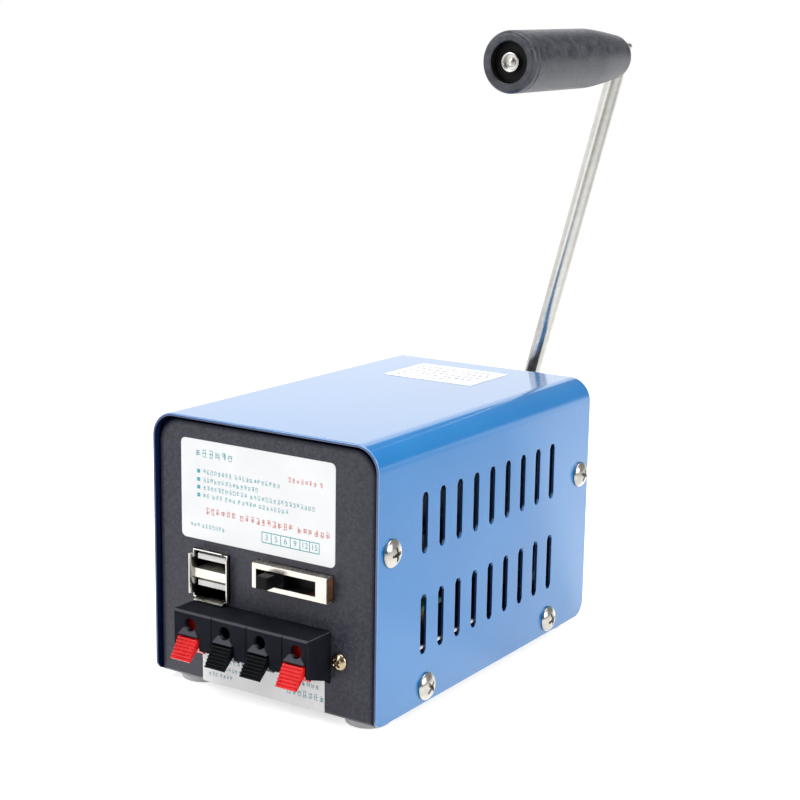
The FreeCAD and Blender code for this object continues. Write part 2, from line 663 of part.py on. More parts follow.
def usb_shell():
    """Thin metal shell round both sockets, with its four flared lips."""
    y0 = usb_mouth()
    x0 = USB_X - USB_WIDTH / 2
    x1 = USB_X + USB_WIDTH / 2
    z0 = BOARD_TOP
    z1 = BOARD_TOP + USB_HEIGHT
    t = USB_SHEET
    shell = box(x0, x1, y0, y0 + USB_DEPTH, z0, z1).cut(
        box(x0 + t, x1 - t, y0 - 1, y0 + USB_DEPTH + 1, z0 + t, z1 - t))
    out = USB_LIP * math.sin(math.radians(USB_LIP_ANGLE))
    forward = USB_LIP * math.cos(math.radians(USB_LIP_ANGLE))
    inset = USB_LIP_INSET
    lips = []
    for x, s in ((x0, -1), (x1, 1)):
        outline = [V(x, y0, z0 + inset), V(x - s * t, y0, z0 + inset),
                   V(x + s * (out - t), y0 - forward, z0 + inset), V(x + s * out, y0 - forward, z0 + inset)]
        lips.append(prism(outline, V(0, 0, USB_HEIGHT - 2 * inset)))
    for z, s in ((z0, -1), (z1, 1)):
        outline = [V(x0 + inset, y0, z), V(x0 + inset, y0, z - s * t),
                   V(x0 + inset, y0 - forward, z + s * (out - t)), V(x0 + inset, y0 - forward, z + s * out)]
        lips.append(prism(outline, V(USB_WIDTH - 2 * inset, 0, 0)))
    return union([shell] + lips)


def usb_divider():
    """Folded metal channel between the two ports."""
    y0 = usb_mouth()
    x0 = USB_X - USB_WIDTH / 2 + USB_SHEET
    x1 = USB_X + USB_WIDTH / 2 - USB_SHEET
    z0 = BOARD_TOP + USB_DIVIDER_RISE
    block = box(x0, x1, y0 + 0.2, y0 + USB_DEPTH - USB_BLOCK_DEPTH, z0, z0 + USB_DIVIDER)
    t = USB_SHEET
    return block.cut(box(x0 - 1, x1 + 1, y0 + 0.2 + t, y0 + USB_DEPTH, z0 + t, z0 + USB_DIVIDER - t))


def tongue_tops():
    """Upper faces of the two tongues."""
    lower = BOARD_TOP + USB_DIVIDER_RISE - TONGUE_GAP
    upper = BOARD_TOP + USB_HEIGHT - USB_SHEET - TONGUE_GAP
    return (lower, upper)


def usb_insulator():
    """Plastic block at the back of the socket with one tongue for each port."""
    y1 = usb_mouth() + USB_DEPTH
    y0 = y1 - USB_BLOCK_DEPTH
    half = USB_WIDTH / 2 - USB_SHEET
    block = box(USB_X - half, USB_X + half, y0, y1, BOARD_TOP + USB_SHEET,
                BOARD_TOP + USB_HEIGHT - USB_SHEET)
    tongues = [box(USB_X - TONGUE_WIDTH / 2, USB_X + TONGUE_WIDTH / 2, usb_mouth() + TONGUE_RECESS, y0,
                   top - TONGUE_THICKNESS, top) for top in tongue_tops()]
    return union([block] + tongues)


def usb_contacts():
    """Four spring contacts under each tongue."""
    width, thick, length = USB_CONTACT
    y1 = usb_mouth() + USB_DEPTH - USB_BLOCK_DEPTH
    strips = []
    for top in tongue_tops():
        for i in range(4):
            x = USB_X + (i - 1.5) * USB_CONTACT_PITCH
            z = top - TONGUE_THICKNESS
            strips.append(box(x - width / 2, x + width / 2, y1 - length, y1, z - thick, z))
    return group(strips)


# ---------------------------------------------------------------- voltage switch
def switch_frame():
    """Plated steel channel over the switch, open at both ends, with the long slot in its face."""
    x1 = SWITCH_LEFT + SWITCH_WIDTH
    rise = SWITCH_HEIGHT / 2
    t = SWITCH_SHEET
    frame = box(SWITCH_LEFT, x1, SWITCH_FACE, SWITCH_REAR, SWITCH_Z - rise, SWITCH_Z + rise)
    frame = frame.cut(box(SWITCH_LEFT - 1, x1 + 1, SWITCH_FACE + t, SWITCH_REAR + 1,
                          SWITCH_Z - rise + t, SWITCH_Z + rise - t))
    folds = [e for e in edges_at(frame, SWITCH_FACE) if e.BoundBox.XLength > SWITCH_WIDTH / 2]
    frame = frame.makeFillet(t * 0.6, folds)
    slot = box(SLOT_LEFT, SLOT_LEFT + SWITCH_SLOT_LENGTH, SWITCH_FACE - 1, SWITCH_FACE + t + 1,
               SWITCH_Z - SWITCH_SLOT_HEIGHT / 2, SWITCH_Z + SWITCH_SLOT_HEIGHT / 2)
    return frame.cut(slot)


def switch_channel():
    """Space in the switch base in which the slider runs: low and high x, half height."""
    low = SWITCH_LEFT + SWITCH_WALL
    return low, SWITCH_LEFT + SWITCH_WIDTH - SWITCH_WALL, SWITCH_SLOT_HEIGHT / 2 + 2 * SLIDE_GAP


def switch_base():
    """Brown laminate body inside the frame, with the slider's channel."""
    low, high, half = switch_channel()
    rise = SWITCH_HEIGHT / 2 - SWITCH_SHEET
    y0 = SWITCH_FACE + SWITCH_SHEET
    block = box(SWITCH_LEFT + 0.1, SWITCH_LEFT + SWITCH_WIDTH - 0.1, y0, SWITCH_REAR, SWITCH_Z - rise,
                SWITCH_Z + rise)
    return block.cut(box(low, high, y0 - 1, SWITCH_REAR - SWITCH_FLOOR, SWITCH_Z - half, SWITCH_Z + half))


def switch_slider():
    """Knob of the switch and the shutter plate that closes the slot beside it."""
    half = SWITCH_SLOT_HEIGHT / 2 + SLIDE_GAP
    y0 = SWITCH_FACE + SWITCH_SHEET + SLIDE_GAP
    shutter = box(KNOB_X - SHUTTER_LEFT, KNOB_X + SHUTTER_RIGHT, y0, y0 + SHUTTER_THICKNESS,
                  SWITCH_Z - half, SWITCH_Z + half)
    knob = box(KNOB_X - KNOB_WIDTH / 2, KNOB_X + KNOB_WIDTH / 2, SWITCH_FACE - KNOB_REACH, y0,
               SWITCH_Z - KNOB_HEIGHT / 2, SWITCH_Z + KNOB_HEIGHT / 2)
    knob = knob.makeFillet(KNOB_ROUND, edges_at(knob, SWITCH_FACE - KNOB_REACH))
    return union([shutter, knob])


def switch_pins():
    """Two rows of solder pins from the switch base to the selector board."""
    width, thick = SWITCH_PIN
    pins = []
    for row in (-1, 1):
        for i in range(SWITCH_POSITIONS + 1):
            x = SWITCH_X + (i - SWITCH_POSITIONS / 2) * SWITCH_PITCH
            z = SWITCH_Z + row * SWITCH_PIN_ROWS / 2
            pins.append(box(x - width / 2, x + width / 2, SWITCH_REAR, SWITCH_REAR + SWITCH_PIN_REACH,
                            z - thick / 2, z + thick / 2))
    return group(pins)


def selector_board():
    """Small upright board behind the switch that joins its pins to the main board."""
    y0 = SWITCH_REAR + SWITCH_PIN_REACH
    half = SWITCH_WIDTH / 2 + SELECTOR_MARGIN
    return box(SWITCH_X - half, SWITCH_X + half, y0, y0 + BOARD_THICKNESS, BOARD_TOP,
               BOARD_TOP + SELECTOR_HEIGHT)


# ---------------------------------------------------------------- spring terminals
def terminal_housing():
    """Moulded block of four spring terminals: wire holes, guide ramps, lever pockets and ears."""
    x0 = TERMINAL_X - TERMINAL_LENGTH / 2
    low = TERMINAL_TOP - TERMINAL_HEIGHT
    side_view = [V(x0, PANEL_INSIDE, low), V(x0, TERMINAL_FACE, low + TERMINAL_CHIN),
                 V(x0, TERMINAL_FACE, TERMINAL_TOP), V(x0, PANEL_INSIDE, TERMINAL_TOP)]
    block = prism(side_view, V(TERMINAL_LENGTH, 0, 0))
    soft = [e for e in edges_at(block, TERMINAL_FACE) if e.BoundBox.ZMax > low + TERMINAL_CHIN + 1]
    block = block.makeChamfer(TERMINAL_EDGE, soft)
    pieces = [block]
    ear_half = EAR_SPACING / 2 + EAR_REACH
    ear_z = SILL + EAR_RISE
    ear_x = TERMINAL_X + EAR_SHIFT
    pieces.append(box(ear_x - ear_half, ear_x + ear_half, PANEL_INSIDE,
                      PANEL_INSIDE + EAR_THICKNESS, ear_z - EAR_HEIGHT / 2, ear_z + EAR_HEIGHT / 2))
    for place in ear_places():
        seat = V(place.x, PANEL_INSIDE, place.z)
        pieces.append(hexagon(EAR_BOSS_FLATS, seat, Y_AXIS * (EAR_THICKNESS + EAR_BOSS)))
    pieces.append(box(x0 + 1, x0 + TERMINAL_LENGTH - 1, PANEL_INSIDE, PANEL_INSIDE + TERMINAL_BACK,
                      low + 1, BOARD_UNDER - 0.4))
    wire_z = TERMINAL_TOP - WIRE_DROP
    brow_z = TERMINAL_TOP - POCKET_BROW
    ramp_foot = brow_z
    ramp_head = ramp_foot + RAMP_HEIGHT
    for x in [wire_x - LEVER_SHIFT for wire_x in WIRE_XS]:
        top = [V(x - RAMP_TOP / 2, TERMINAL_FACE, ramp_head), V(x + RAMP_TOP / 2, TERMINAL_FACE, ramp_head)]
        foot = [V(x + LEVER_WIDTH / 2, TERMINAL_FACE, ramp_foot),
                V(x - LEVER_WIDTH / 2, TERMINAL_FACE, ramp_foot)]
        wedge = prism(top + foot, V(0, -RAMP_PROUD, 0))
        slope = [V(x - LEVER_WIDTH, TERMINAL_FACE + 0.1, ramp_head),
                 V(x - LEVER_WIDTH, TERMINAL_FACE, ramp_head),
                 V(x - LEVER_WIDTH, TERMINAL_FACE - RAMP_PROUD, ramp_foot),
                 V(x - LEVER_WIDTH, TERMINAL_FACE + 0.1, ramp_foot)]
        pieces.append(wedge.common(prism(slope, V(2 * LEVER_WIDTH, 0, 0))))
    block = union(pieces)
    cuts = []
    for wire_x in WIRE_XS:
        x = wire_x - LEVER_SHIFT
        half = POCKET_WIDTH / 2
        inner = TERMINAL_FACE + FRONT_WALL
        cuts.append(box(x - half, x + half, inner, POCKET_BACK, low - 1, TERMINAL_TOP - TOP_WALL))
        cuts.append(box(x - half, x + half, TERMINAL_FACE - 1, inner + 0.1, low - 1, brow_z))
        cuts.append(drum(WIRE_HOLE, V(wire_x, TERMINAL_FACE - 1, wire_z), Y_AXIS * (FRONT_WALL + 1.1)))
        reach = LEVER_WIDTH / 2 + LEVER_PIN_REACH + 0.2
        cuts.append(shank_hole(LEVER_PIN + 2 * RUNNING_GAP, V(x - reach, PIVOT_Y, PIVOT_Z),
                               X_AXIS * (2 * reach)))
        cuts.append(contact_path(wire_x, 0.05))
    for left, right in zip(WIRE_XS, WIRE_XS[1:]):
        x = (left + right) / 2 + GROOVE_SHIFT
        cuts.append(box(x - GROOVE / 2, x + GROOVE / 2, TERMINAL_FACE - 1, TERMINAL_FACE + GROOVE,
                        low, TERMINAL_TOP + 1))
    for place in ear_places():
        cuts.append(shank_hole(SMALL_SCREW + 2 * THREAD_GAP, place,
                               Y_AXIS * (CHASSIS_SHEET + EAR_THICKNESS + EAR_BOSS + 1)))
    return block.cut(group(cuts)).removeSplitter()


def terminal_lever(wire_x):
    """Ribbed finger lever: sloping pad outside, tail and wire arm in the pocket, two hinge pins."""
    x = wire_x - LEVER_SHIFT
    pivot = V(x - LEVER_WIDTH / 2, PIVOT_Y, PIVOT_Z)
    slope = PAD_BOTTOM.sub(PAD_TOP)
    inward = V(0, -slope.z, slope.y).normalize() * -RIB_DEPTH
    points = [PAD_TOP]
    for i in range(PAD_RIBS):
        start = PAD_TOP + slope * ((i + 0.45) / (PAD_RIBS + 0.4))
        points += [start, start + slope * 0.03 - inward,
                   start + slope * 0.065 - inward, start + slope * 0.095]
    points += [PAD_BOTTOM, PAD_LIP, PAD_NOTCH, TAIL_TIP, TAIL_BACK, ARM_FOOT, ARM_FRONT]
    body = prism([pivot + p for p in points], X_AXIS * LEVER_WIDTH)
    arm_start = V(x - LEVER_ARM_WIDTH / 2, PIVOT_Y, PIVOT_Z)
    arm = prism([arm_start + p for p in (ARM_FOOT, ARM_BACK, ARM_TOP, ARM_FRONT)], X_AXIS * LEVER_ARM_WIDTH)
    reach = LEVER_WIDTH / 2 + LEVER_PIN_REACH
    pin = shank(LEVER_PIN, V(x - reach, PIVOT_Y, PIVOT_Z), X_AXIS * (2 * reach))
    start = V(wire_x, TERMINAL_FACE, TERMINAL_TOP - WIRE_DROP)
    wire_path = shank_hole(LEVER_WIRE_HOLE, start, Y_AXIS * TERMINAL_PROUD)
    return union([body, arm, pin]).cut(wire_path)


def contact_path(x, gap):
    """Bent strip of one terminal: upright in the pocket, back under the board and up into it."""
    width, thick = CONTACT_STRIP
    half = width / 2 + gap
    strip_z = BOARD_UNDER - 2.2
    low = strip_z - 6.0
    upright = box(x - half, x + half, POCKET_BACK - thick - gap, POCKET_BACK + gap, low - gap, strip_z + gap)
    tail_y = BOARD_FRONT + CONTACT_TAIL
    level = box(x - half, x + half, POCKET_BACK - thick - gap, tail_y + gap,
                strip_z - thick - gap, strip_z + gap)
    rise = box(x - half, x + half, tail_y - thick - gap, tail_y + gap, strip_z - thick - gap, BOARD_TOP + gap)
    return union([upright, level, rise])


def terminal_contacts():
    """Four bent brass contact strips."""
    return group([contact_path(x, 0) for x in WIRE_XS])


def terminal_screws():
    """Two pan head screws through the panel and the block's ears."""
    length = CHASSIS_SHEET + EAR_THICKNESS + EAR_BOSS
    return group([screw(place, Y_AXIS * -1, SMALL_SCREW, length, SMALL_SCREW_HEAD, SMALL_SCREW_DOME)
                  for place in ear_places()])


# ---------------------------------------------------------------- main board
def circuit_board():
    """Regulator board on four standoffs behind the front panel."""
    half = BOARD_WIDTH / 2
    board = box(-half, half, BOARD_FRONT, BOARD_REAR, BOARD_UNDER, BOARD_TOP)
    cuts = [contact_path(x, 0.1) for x in WIRE_XS]
    for place in standoff_places():
        low = V(place.x, place.y, BOARD_UNDER - 1)
        cuts.append(shank_hole(SMALL_SCREW + 2 * HOLE_GAP, low, Z_AXIS * (BOARD_THICKNESS + 2)))
    return board.cut(group(cuts))


def board_standoffs():
    """Hexagonal spacers between the floor and the board."""
    return group([nut(STANDOFF_FLATS, SMALL_SCREW + 2 * THREAD_GAP, place, Z_AXIS, BOARD_UNDER - FLOOR_TOP)
                  for place in standoff_places()])


def inner_screws():
    """Small screws inside the case: four hold the board down, two hold the generator."""
    length = BOARD_TOP - SILL
    screws = [hex_screw(V(place.x, place.y, BOARD_TOP), Z_AXIS, length) for place in standoff_places()]
    screws += [hex_screw(place, Y_AXIS, PLATE_THICKNESS + CAN_WALL) for place in can_screw_places()]
    return group(screws)


def capacitors():
    """Upright electrolytic capacitors."""
    y = BOARD_REAR - CAPACITOR_INSET
    return group([drum(CAPACITOR_DIAMETER, V(x, y, BOARD_TOP), Z_AXIS * CAPACITOR_HEIGHT)
                  for x in CAPACITOR_X])


def choke_centre():
    """Middle of the choke's ring, which stands on its lowest turns."""
    radius = CHOKE_RADIUS + CHOKE_SECTION + CHOKE_WIRE
    return V(CHOKE_X, BOARD_REAR - CAPACITOR_INSET, BOARD_TOP + radius)


def choke_core():
    """Ferrite ring standing on its edge."""
    centre = choke_centre()
    start = centre - Y_AXIS * CHOKE_SECTION
    run = Y_AXIS * (2 * CHOKE_SECTION)
    return drum(2 * (CHOKE_RADIUS + CHOKE_SECTION), start, run).cut(
        drum(2 * (CHOKE_RADIUS - CHOKE_SECTION), start, run))


def choke_winding():
    """Square loops of copper wire round the ring."""
    centre = choke_centre()
    inner = (CHOKE_RADIUS - CHOKE_SECTION) * math.cos(math.pi / DRUM_SIDES)
    outer = CHOKE_RADIUS + CHOKE_SECTION
    wire = CHOKE_WIRE
    loops = []
    for i in range(CHOKE_TURNS):
        loop = box(inner - wire, outer + wire, -CHOKE_SECTION - wire, CHOKE_SECTION + wire,
                   -wire / 2, wire / 2)
        loop = loop.cut(box(inner, outer, -CHOKE_SECTION, CHOKE_SECTION, -wire, wire))
        loop.rotate(V(0, 0, 0), Y_AXIS, i * 360 / CHOKE_TURNS + 180 / DRUM_SIDES)
        loop.translate(centre)
        loops.append(loop)
    return group(loops)


def rectifier():
    """Bridge rectifier standing on its four legs."""
    wide, long, high = RECTIFIER_SIZE
    y = BOARD_FRONT + BOARD_LENGTH / 2 - 2
    body = box(RECTIFIER_X - long / 2, RECTIFIER_X + long / 2, y - wide / 2, y + wide / 2,
               BOARD_TOP + RECTIFIER_LIFT, BOARD_TOP + RECTIFIER_LIFT + high)
    legs = []
    for i in range(4):
        x = RECTIFIER_X + (i - 1.5) * long / 4
        legs.append(box(x - LEG / 2, x + LEG / 2, y - LEG / 2, y + LEG / 2,
                        BOARD_TOP, BOARD_TOP + RECTIFIER_LIFT))
    return union([body] + legs)


def heat_sink():
    """Finned aluminium heat sink standing on the board, fins towards the right side's vents."""
    y1 = BOARD_REAR - HEAT_SINK_BACK
    y0 = y1 - HEAT_SINK_LENGTH
    x1 = HEAT_SINK_X + HEAT_SINK_BASE
    z1 = BOARD_TOP + HEAT_SINK_HEIGHT
    pieces = [box(HEAT_SINK_X, x1, y0, y1, BOARD_TOP, z1)]
    pitch = (HEAT_SINK_LENGTH - HEAT_SINK_FIN) / (HEAT_SINK_FINS - 1)
    for i in range(HEAT_SINK_FINS):
        y = y0 + i * pitch
        pieces.append(box(x1, HEAT_SINK_X + HEAT_SINK_REACH, y, y + HEAT_SINK_FIN,
                          BOARD_TOP + SMALL_SCREW_DOME + 0.6, z1))
    return union(pieces)


def regulator():
    """Power regulator with its metal tab flat against the heat sink."""
    tab_thick, tab_wide, tab_high = REGULATOR_TAB
    thick, wide, high = REGULATOR_SIZE
    y = BOARD_REAR - HEAT_SINK_BACK - HEAT_SINK_LENGTH / 2
    z = BOARD_TOP + REGULATOR_LIFT
    x1 = HEAT_SINK_X
    tab = box(x1 - tab_thick, x1, y - tab_wide / 2, y + tab_wide / 2, z, z + tab_high)
    body = box(x1 - thick, x1 - tab_thick, y - wide / 2, y + wide / 2, z, z + high)
    middle = x1 - thick / 2
    legs = [box(middle - LEG / 2, middle + LEG / 2, y + i * LEG_PITCH - LEG / 2, y + i * LEG_PITCH + LEG / 2,
                BOARD_TOP, z) for i in (-1, 0, 1)]
    return union([tab, body] + legs)


# ---------------------------------------------------------------- gear train
def involute(angle):
    """Involute of an angle in radians."""
    return math.tan(angle) - angle


def gear(teeth, flank, width, x, y, z, phase):
    """Spur gear about +Y with one tooth at the phase angle; straight runs follow its involutes."""
    pitch_radius = MODULE * teeth / 2
    pressure = math.radians(PRESSURE_ANGLE)
    base = pitch_radius * math.cos(pressure)
    tip = pitch_radius + MODULE
    root = pitch_radius - 1.25 * MODULE
    half_tooth = math.pi / (2 * teeth) - BACKLASH / (4 * pitch_radius)

    def half_angle(radius):
        return half_tooth + involute(pressure) - involute(math.acos(min(1.0, base / radius)))

    def point(radius, angle):
        return V(x + radius * math.cos(angle), y, z + radius * math.sin(angle))

    start = max(base, root)
    radii = [start + (tip - start) * i / flank for i in range(flank + 1)]
    points = []
    for i in range(teeth):
        centre = phase + 2 * math.pi * i / teeth
        if start > root:
            points.append(point(root, centre - half_angle(start)))
        points += [point(r, centre - half_angle(r)) for r in radii]
        points += [point(r, centre + half_angle(r)) for r in reversed(radii)]
        if start > root:
            points.append(point(root, centre + half_angle(start)))
    return prism(points, V(0, width, 0))


def gap_phase(direction, teeth):
    """Phase that puts a gap on a direction."""
    return direction + math.pi / teeth


def along_y(x, z, y0, y1, diameter):
    """Round bar parallel to Y."""
    return rod(diameter, V(x, y0, z), V(x, y1, z))


def drive_hub_front():
    """Front end of the drive gear's long hub, just behind the front bush."""
    return FRONT_PLATE + PLATE_THICKNESS + BUSH_REACH + DRIVE_HUB_GAP


def drive_gear():
    """Large gear on the crank shaft, with a long hub and holes in its web."""
    phase = math.radians(LAYSHAFT_ANGLE)
    wheel = gear(DRIVE_TEETH, WHEEL_FLANK, DRIVE_GEAR_FACE, 0, DRIVE_GEAR_Y, SHAFT_Z, phase)
    hub = along_y(0, SHAFT_Z, drive_hub_front(), DRIVE_GEAR_Y + DRIVE_GEAR_FACE, DRIVE_GEAR_HUB)
    web = (DRIVE_GEAR_HUB / 2 + MODULE * DRIVE_TEETH / 2 - 1.25 * MODULE) / 2
    cuts = [shank_hole(CRANK_SHAFT, V(0, FRONT_PLATE, SHAFT_Z), Y_AXIS * GEARBOX_DEPTH), drive_gear_pin()]
    for i in range(WEB_HOLES):
        angle = 2 * math.pi * i / WEB_HOLES
        place = V(web * math.cos(angle), DRIVE_GEAR_Y - 1, SHAFT_Z + web * math.sin(angle))
        cuts.append(drum(WEB_HOLE, place, Y_AXIS * (DRIVE_GEAR_FACE + 2)))
    return wheel.fuse(hub).removeSplitter().cut(group(cuts))


def drive_gear_pin():
    """Cross pin through the drive gear's hub and the shaft."""
    y = (drive_hub_front() + DRIVE_GEAR_Y) / 2
    reach = DRIVE_GEAR_HUB / 2
    return shank(GEAR_PIN, V(-reach, y, SHAFT_Z), X_AXIS * (2 * reach))


def crank_shaft():
    """Shaft from the front gear plate through the rear panel into the crank hub."""
    end = ARM_Y - ARM_DIAMETER / 2 - SHAFT_TIP_GAP
    shaft = along_y(0, SHAFT_Z, FRONT_PLATE + SHAFT_END_GAP, end, CRANK_SHAFT)
    return shaft.cut(drive_gear_pin())


def crank_bushes():
    """Bronze bushes of the crank shaft; the rear one reaches through the panel to the crank's hub."""
    outer = CRANK_SHAFT + 2 * BUSH_WALL
    bore = CRANK_SHAFT + 2 * RUNNING_GAP
    return group([tube(outer, bore, V(0, start, SHAFT_Z), V(0, end, SHAFT_Z))
                  for start, end in ((FRONT_PLATE, drive_hub_front() - DRIVE_HUB_GAP),
                                     (REAR_PLATE, HUB_FRONT - CRANK_END_PLAY))])


def layshaft():
    """Intermediate shaft between the two plates."""
    return along_y(LAY_X, LAY_Z, FRONT_PLATE + SHAFT_END_GAP, REAR_INSIDE - SHAFT_END_GAP, LAYSHAFT)


def compound_gear():
    """Pinion and wheel cut from one blank; the pinion meets the drive gear."""
    pinion_y = DRIVE_GEAR_Y - PINION_EXTRA / 2
    pinion_phase = gap_phase(math.radians(LAYSHAFT_ANGLE + 180), PINION_TEETH)
    pinion = gear(PINION_TEETH, PINION_FLANK, DRIVE_GEAR_FACE + PINION_EXTRA, LAY_X, pinion_y, LAY_Z,
                  pinion_phase)
    wheel = gear(WHEEL_TEETH, WHEEL_FLANK, WHEEL_FACE, LAY_X, WHEEL_Y, LAY_Z, math.radians(GENERATOR_ANGLE))
    neck = along_y(LAY_X, LAY_Z, WHEEL_Y + WHEEL_FACE, pinion_y, MODULE * (PINION_TEETH - 2.5))
    blank = wheel.multiFuse([neck, pinion])
    blank = blank.cut(shank_hole(LAYSHAFT, V(LAY_X, FRONT_PLATE, LAY_Z), Y_AXIS * (REAR_PLATE - FRONT_PLATE)))
    return blank.removeSplitter()


def rotor_pinion():
    """Pinion on the generator's shaft, in mesh with the compound gear's wheel."""
    y = WHEEL_Y - PINION_EXTRA / 2
    phase = gap_phase(math.radians(GENERATOR_ANGLE + 180), PINION_TEETH)
    pinion = gear(PINION_TEETH, PINION_FLANK, WHEEL_FACE + PINION_EXTRA, ROTOR_X, y, ROTOR_Z, phase)
    return pinion.cut(shank_hole(ROTOR_SHAFT, V(ROTOR_X, FRONT_PLATE, ROTOR_Z), Y_AXIS * GEARBOX_DEPTH))


def gear_plate(inner_face, outward):
    """One of the two plates that carry the gear train; the layshaft runs straight in them."""
    y0 = min(inner_face, inner_face + outward * PLATE_THICKNESS)
    half = PLATE_SIDE
    low = PLATE_LOW
    high = PLATE_HIGH
    c = PLATE_CORNER
    outline = [V(-half + c, y0, low), V(half - c, y0, low), V(half, y0, low + c), V(half, y0, high - c),
               V(half - c, y0, high), V(-half + c, y0, high), V(-half, y0, high - c), V(-half, y0, low + c)]
    plate = prism(outline, V(0, PLATE_THICKNESS, 0))
    y1 = y0 + PLATE_THICKNESS
    cuts = [along_y(0, SHAFT_Z, y0 - 1, y1 + 1, CRANK_SHAFT + 2 * BUSH_WALL),
            along_y(LAY_X, LAY_Z, y0 - 1, y1 + 1, LAYSHAFT + 2 * RUNNING_GAP)]
    for place in pillar_places():
        cuts.append(shank_hole(SMALL_SCREW + 2 * HOLE_GAP, V(place.x, y0 - 1, place.z),
                               Y_AXIS * (PLATE_THICKNESS + 2)))
    return plate.cut(group(cuts))


def rear_gear_plate():
    """Plate against the rear panel, notched round the cover's upper rear screws."""
    plate = gear_plate(REAR_PLATE, 1)
    inward, height = PLATE_NOTCH
    z = SILL + UPPER_SCREW_RISE - height / 2
    for x in (-PLATE_SIDE - 1, PLATE_SIDE - inward):
        plate = plate.cut(box(x, x + inward + 1, REAR_PLATE - 1, REAR_INSIDE + 1, z, z + height))
    return plate


def can_screw_places():
    """Two screws that hold the generator on the front plate."""
    angle = math.radians(CAN_SCREW_ANGLE)
    offset = V(math.cos(angle), 0, math.sin(angle)) * (CAN_SCREW_SPACING / 2)
    middle = V(ROTOR_X, FRONT_PLATE + PLATE_THICKNESS, ROTOR_Z)
    return [middle + offset * i for i in (-1, 1)]


def front_gear_plate():
    """Plate that carries the generator on its front face."""
    plate = gear_plate(FRONT_PLATE + PLATE_THICKNESS, -1)
    y0 = FRONT_PLATE - 1
    y1 = FRONT_PLATE + PLATE_THICKNESS + 1
    plate = plate.cut(drum(CAN_BOSS + 2 * CUTOUT_GAP, V(ROTOR_X, y0, ROTOR_Z), V(0, y1 - y0, 0)))
    for place in can_screw_places():
        plate = plate.cut(shank_hole(SMALL_SCREW + 2 * HOLE_GAP, V(place.x, y0, place.z), V(0, y1 - y0, 0)))
    return plate


def gearbox_pillars():
    """Four hexagonal pillars between the plates, bored and tapped right through."""
    return group([nut(PILLAR_FLATS, SMALL_SCREW + 2 * THREAD_GAP, p, Y_AXIS * -1, GEARBOX_DEPTH)
                  for p in pillar_places()])


def gearbox_screws():
    """Four screws through the rear panel and four through the front plate, into the pillars."""
    screws = []
    for p in pillar_places():
        length = PLATE_SCREW_GRIP + PLATE_THICKNESS
        screws.append(hex_screw(V(p.x, REAR_PANEL, p.z), Y_AXIS, length + CHASSIS_SHEET))
        screws.append(hex_screw(V(p.x, FRONT_PLATE, p.z), Y_AXIS * -1, length))
    return group(screws)


# ---------------------------------------------------------------- generator
CAN_BACK = FRONT_PLATE                     # the can's drawn end lies on the front plate
CAN_FRONT = CAN_BACK - CAN_LENGTH
CORE_DIAMETER = CAN_DIAMETER - 2 * (CAN_WALL + MAGNET_THICKNESS + AIR_GAP)
CORE_BACK = CAN_BACK - CAN_WALL - CORE_END_GAP - WINDING_REACH
CORE_FRONT = CORE_BACK - CORE_LENGTH


def generator_can():
    """Deep drawn steel can with a boss and two tapped holes in its closed end."""
    can = along_y(ROTOR_X, ROTOR_Z, CAN_FRONT, CAN_BACK, CAN_DIAMETER)
    inner = CAN_DIAMETER - 2 * CAN_WALL
    boss = V(ROTOR_X, CAN_BACK - CAN_WALL, ROTOR_Z)
    can = can.fuse(drum(CAN_BOSS, boss, Y_AXIS * (CAN_WALL + CAN_BOSS_HEIGHT)))
    can = can.cut(along_y(ROTOR_X, ROTOR_Z, CAN_FRONT - 1, CAN_BACK - CAN_WALL, inner))
    bore = ROTOR_SHAFT + 2 * RUNNING_GAP
    can = can.cut(along_y(ROTOR_X, ROTOR_Z, CAN_FRONT - 1, CAN_BACK + CAN_BOSS_HEIGHT + 1, bore))
    for place in can_screw_places():
        hole = SMALL_SCREW + 2 * THREAD_GAP
        can = can.cut(shank_hole(hole, V(place.x, CAN_BACK - 2 * CAN_WALL, place.z), Y_AXIS * (4 * CAN_WALL)))
    return can.removeSplitter()


def generator_magnets():
    """Two arc magnets held against the can's wall."""
    outer = CAN_DIAMETER - 2 * CAN_WALL
    inner = outer - 2 * MAGNET_THICKNESS
    ring = tube(outer, inner, V(ROTOR_X, CORE_FRONT - 2, ROTOR_Z), V(ROTOR_X, CORE_BACK + 2, ROTOR_Z))
    gap = math.radians(180 - MAGNET_ARC) / 2
    reach = CAN_DIAMETER
    magnets = []
    for side in (-1, 1):
        low = V(ROTOR_X, CORE_FRONT - 3, ROTOR_Z)
        spread = [V(side * reach * math.cos(gap), 0, reach * math.sin(gap)), V(side * 2 * reach, 0, 0),
                  V(side * reach * math.cos(gap), 0, -reach * math.sin(gap))]
        sector = prism([low] + [low + p for p in spread], V(0, CORE_LENGTH + 6, 0))
        magnets.append(ring.common(sector))
    return group(magnets)


def generator_end_cap():
    """Plastic cap that closes the can and holds the two brushes."""
    inner = CAN_DIAMETER - 2 * CAN_WALL
    cap = along_y(ROTOR_X, ROTOR_Z, CAN_FRONT - END_CAP_RIM, CAN_FRONT, CAN_DIAMETER)
    plug = drum(inner, V(ROTOR_X, CAN_FRONT, ROTOR_Z), Y_AXIS * (END_CAP_THICKNESS - END_CAP_RIM))
    cap = union([cap, plug])
    bore = ROTOR_SHAFT + 2 * RUNNING_GAP
    return cap.cut(along_y(ROTOR_X, ROTOR_Z, CAN_FRONT - END_CAP_RIM - 1,
                           CAN_FRONT + END_CAP_THICKNESS, bore))


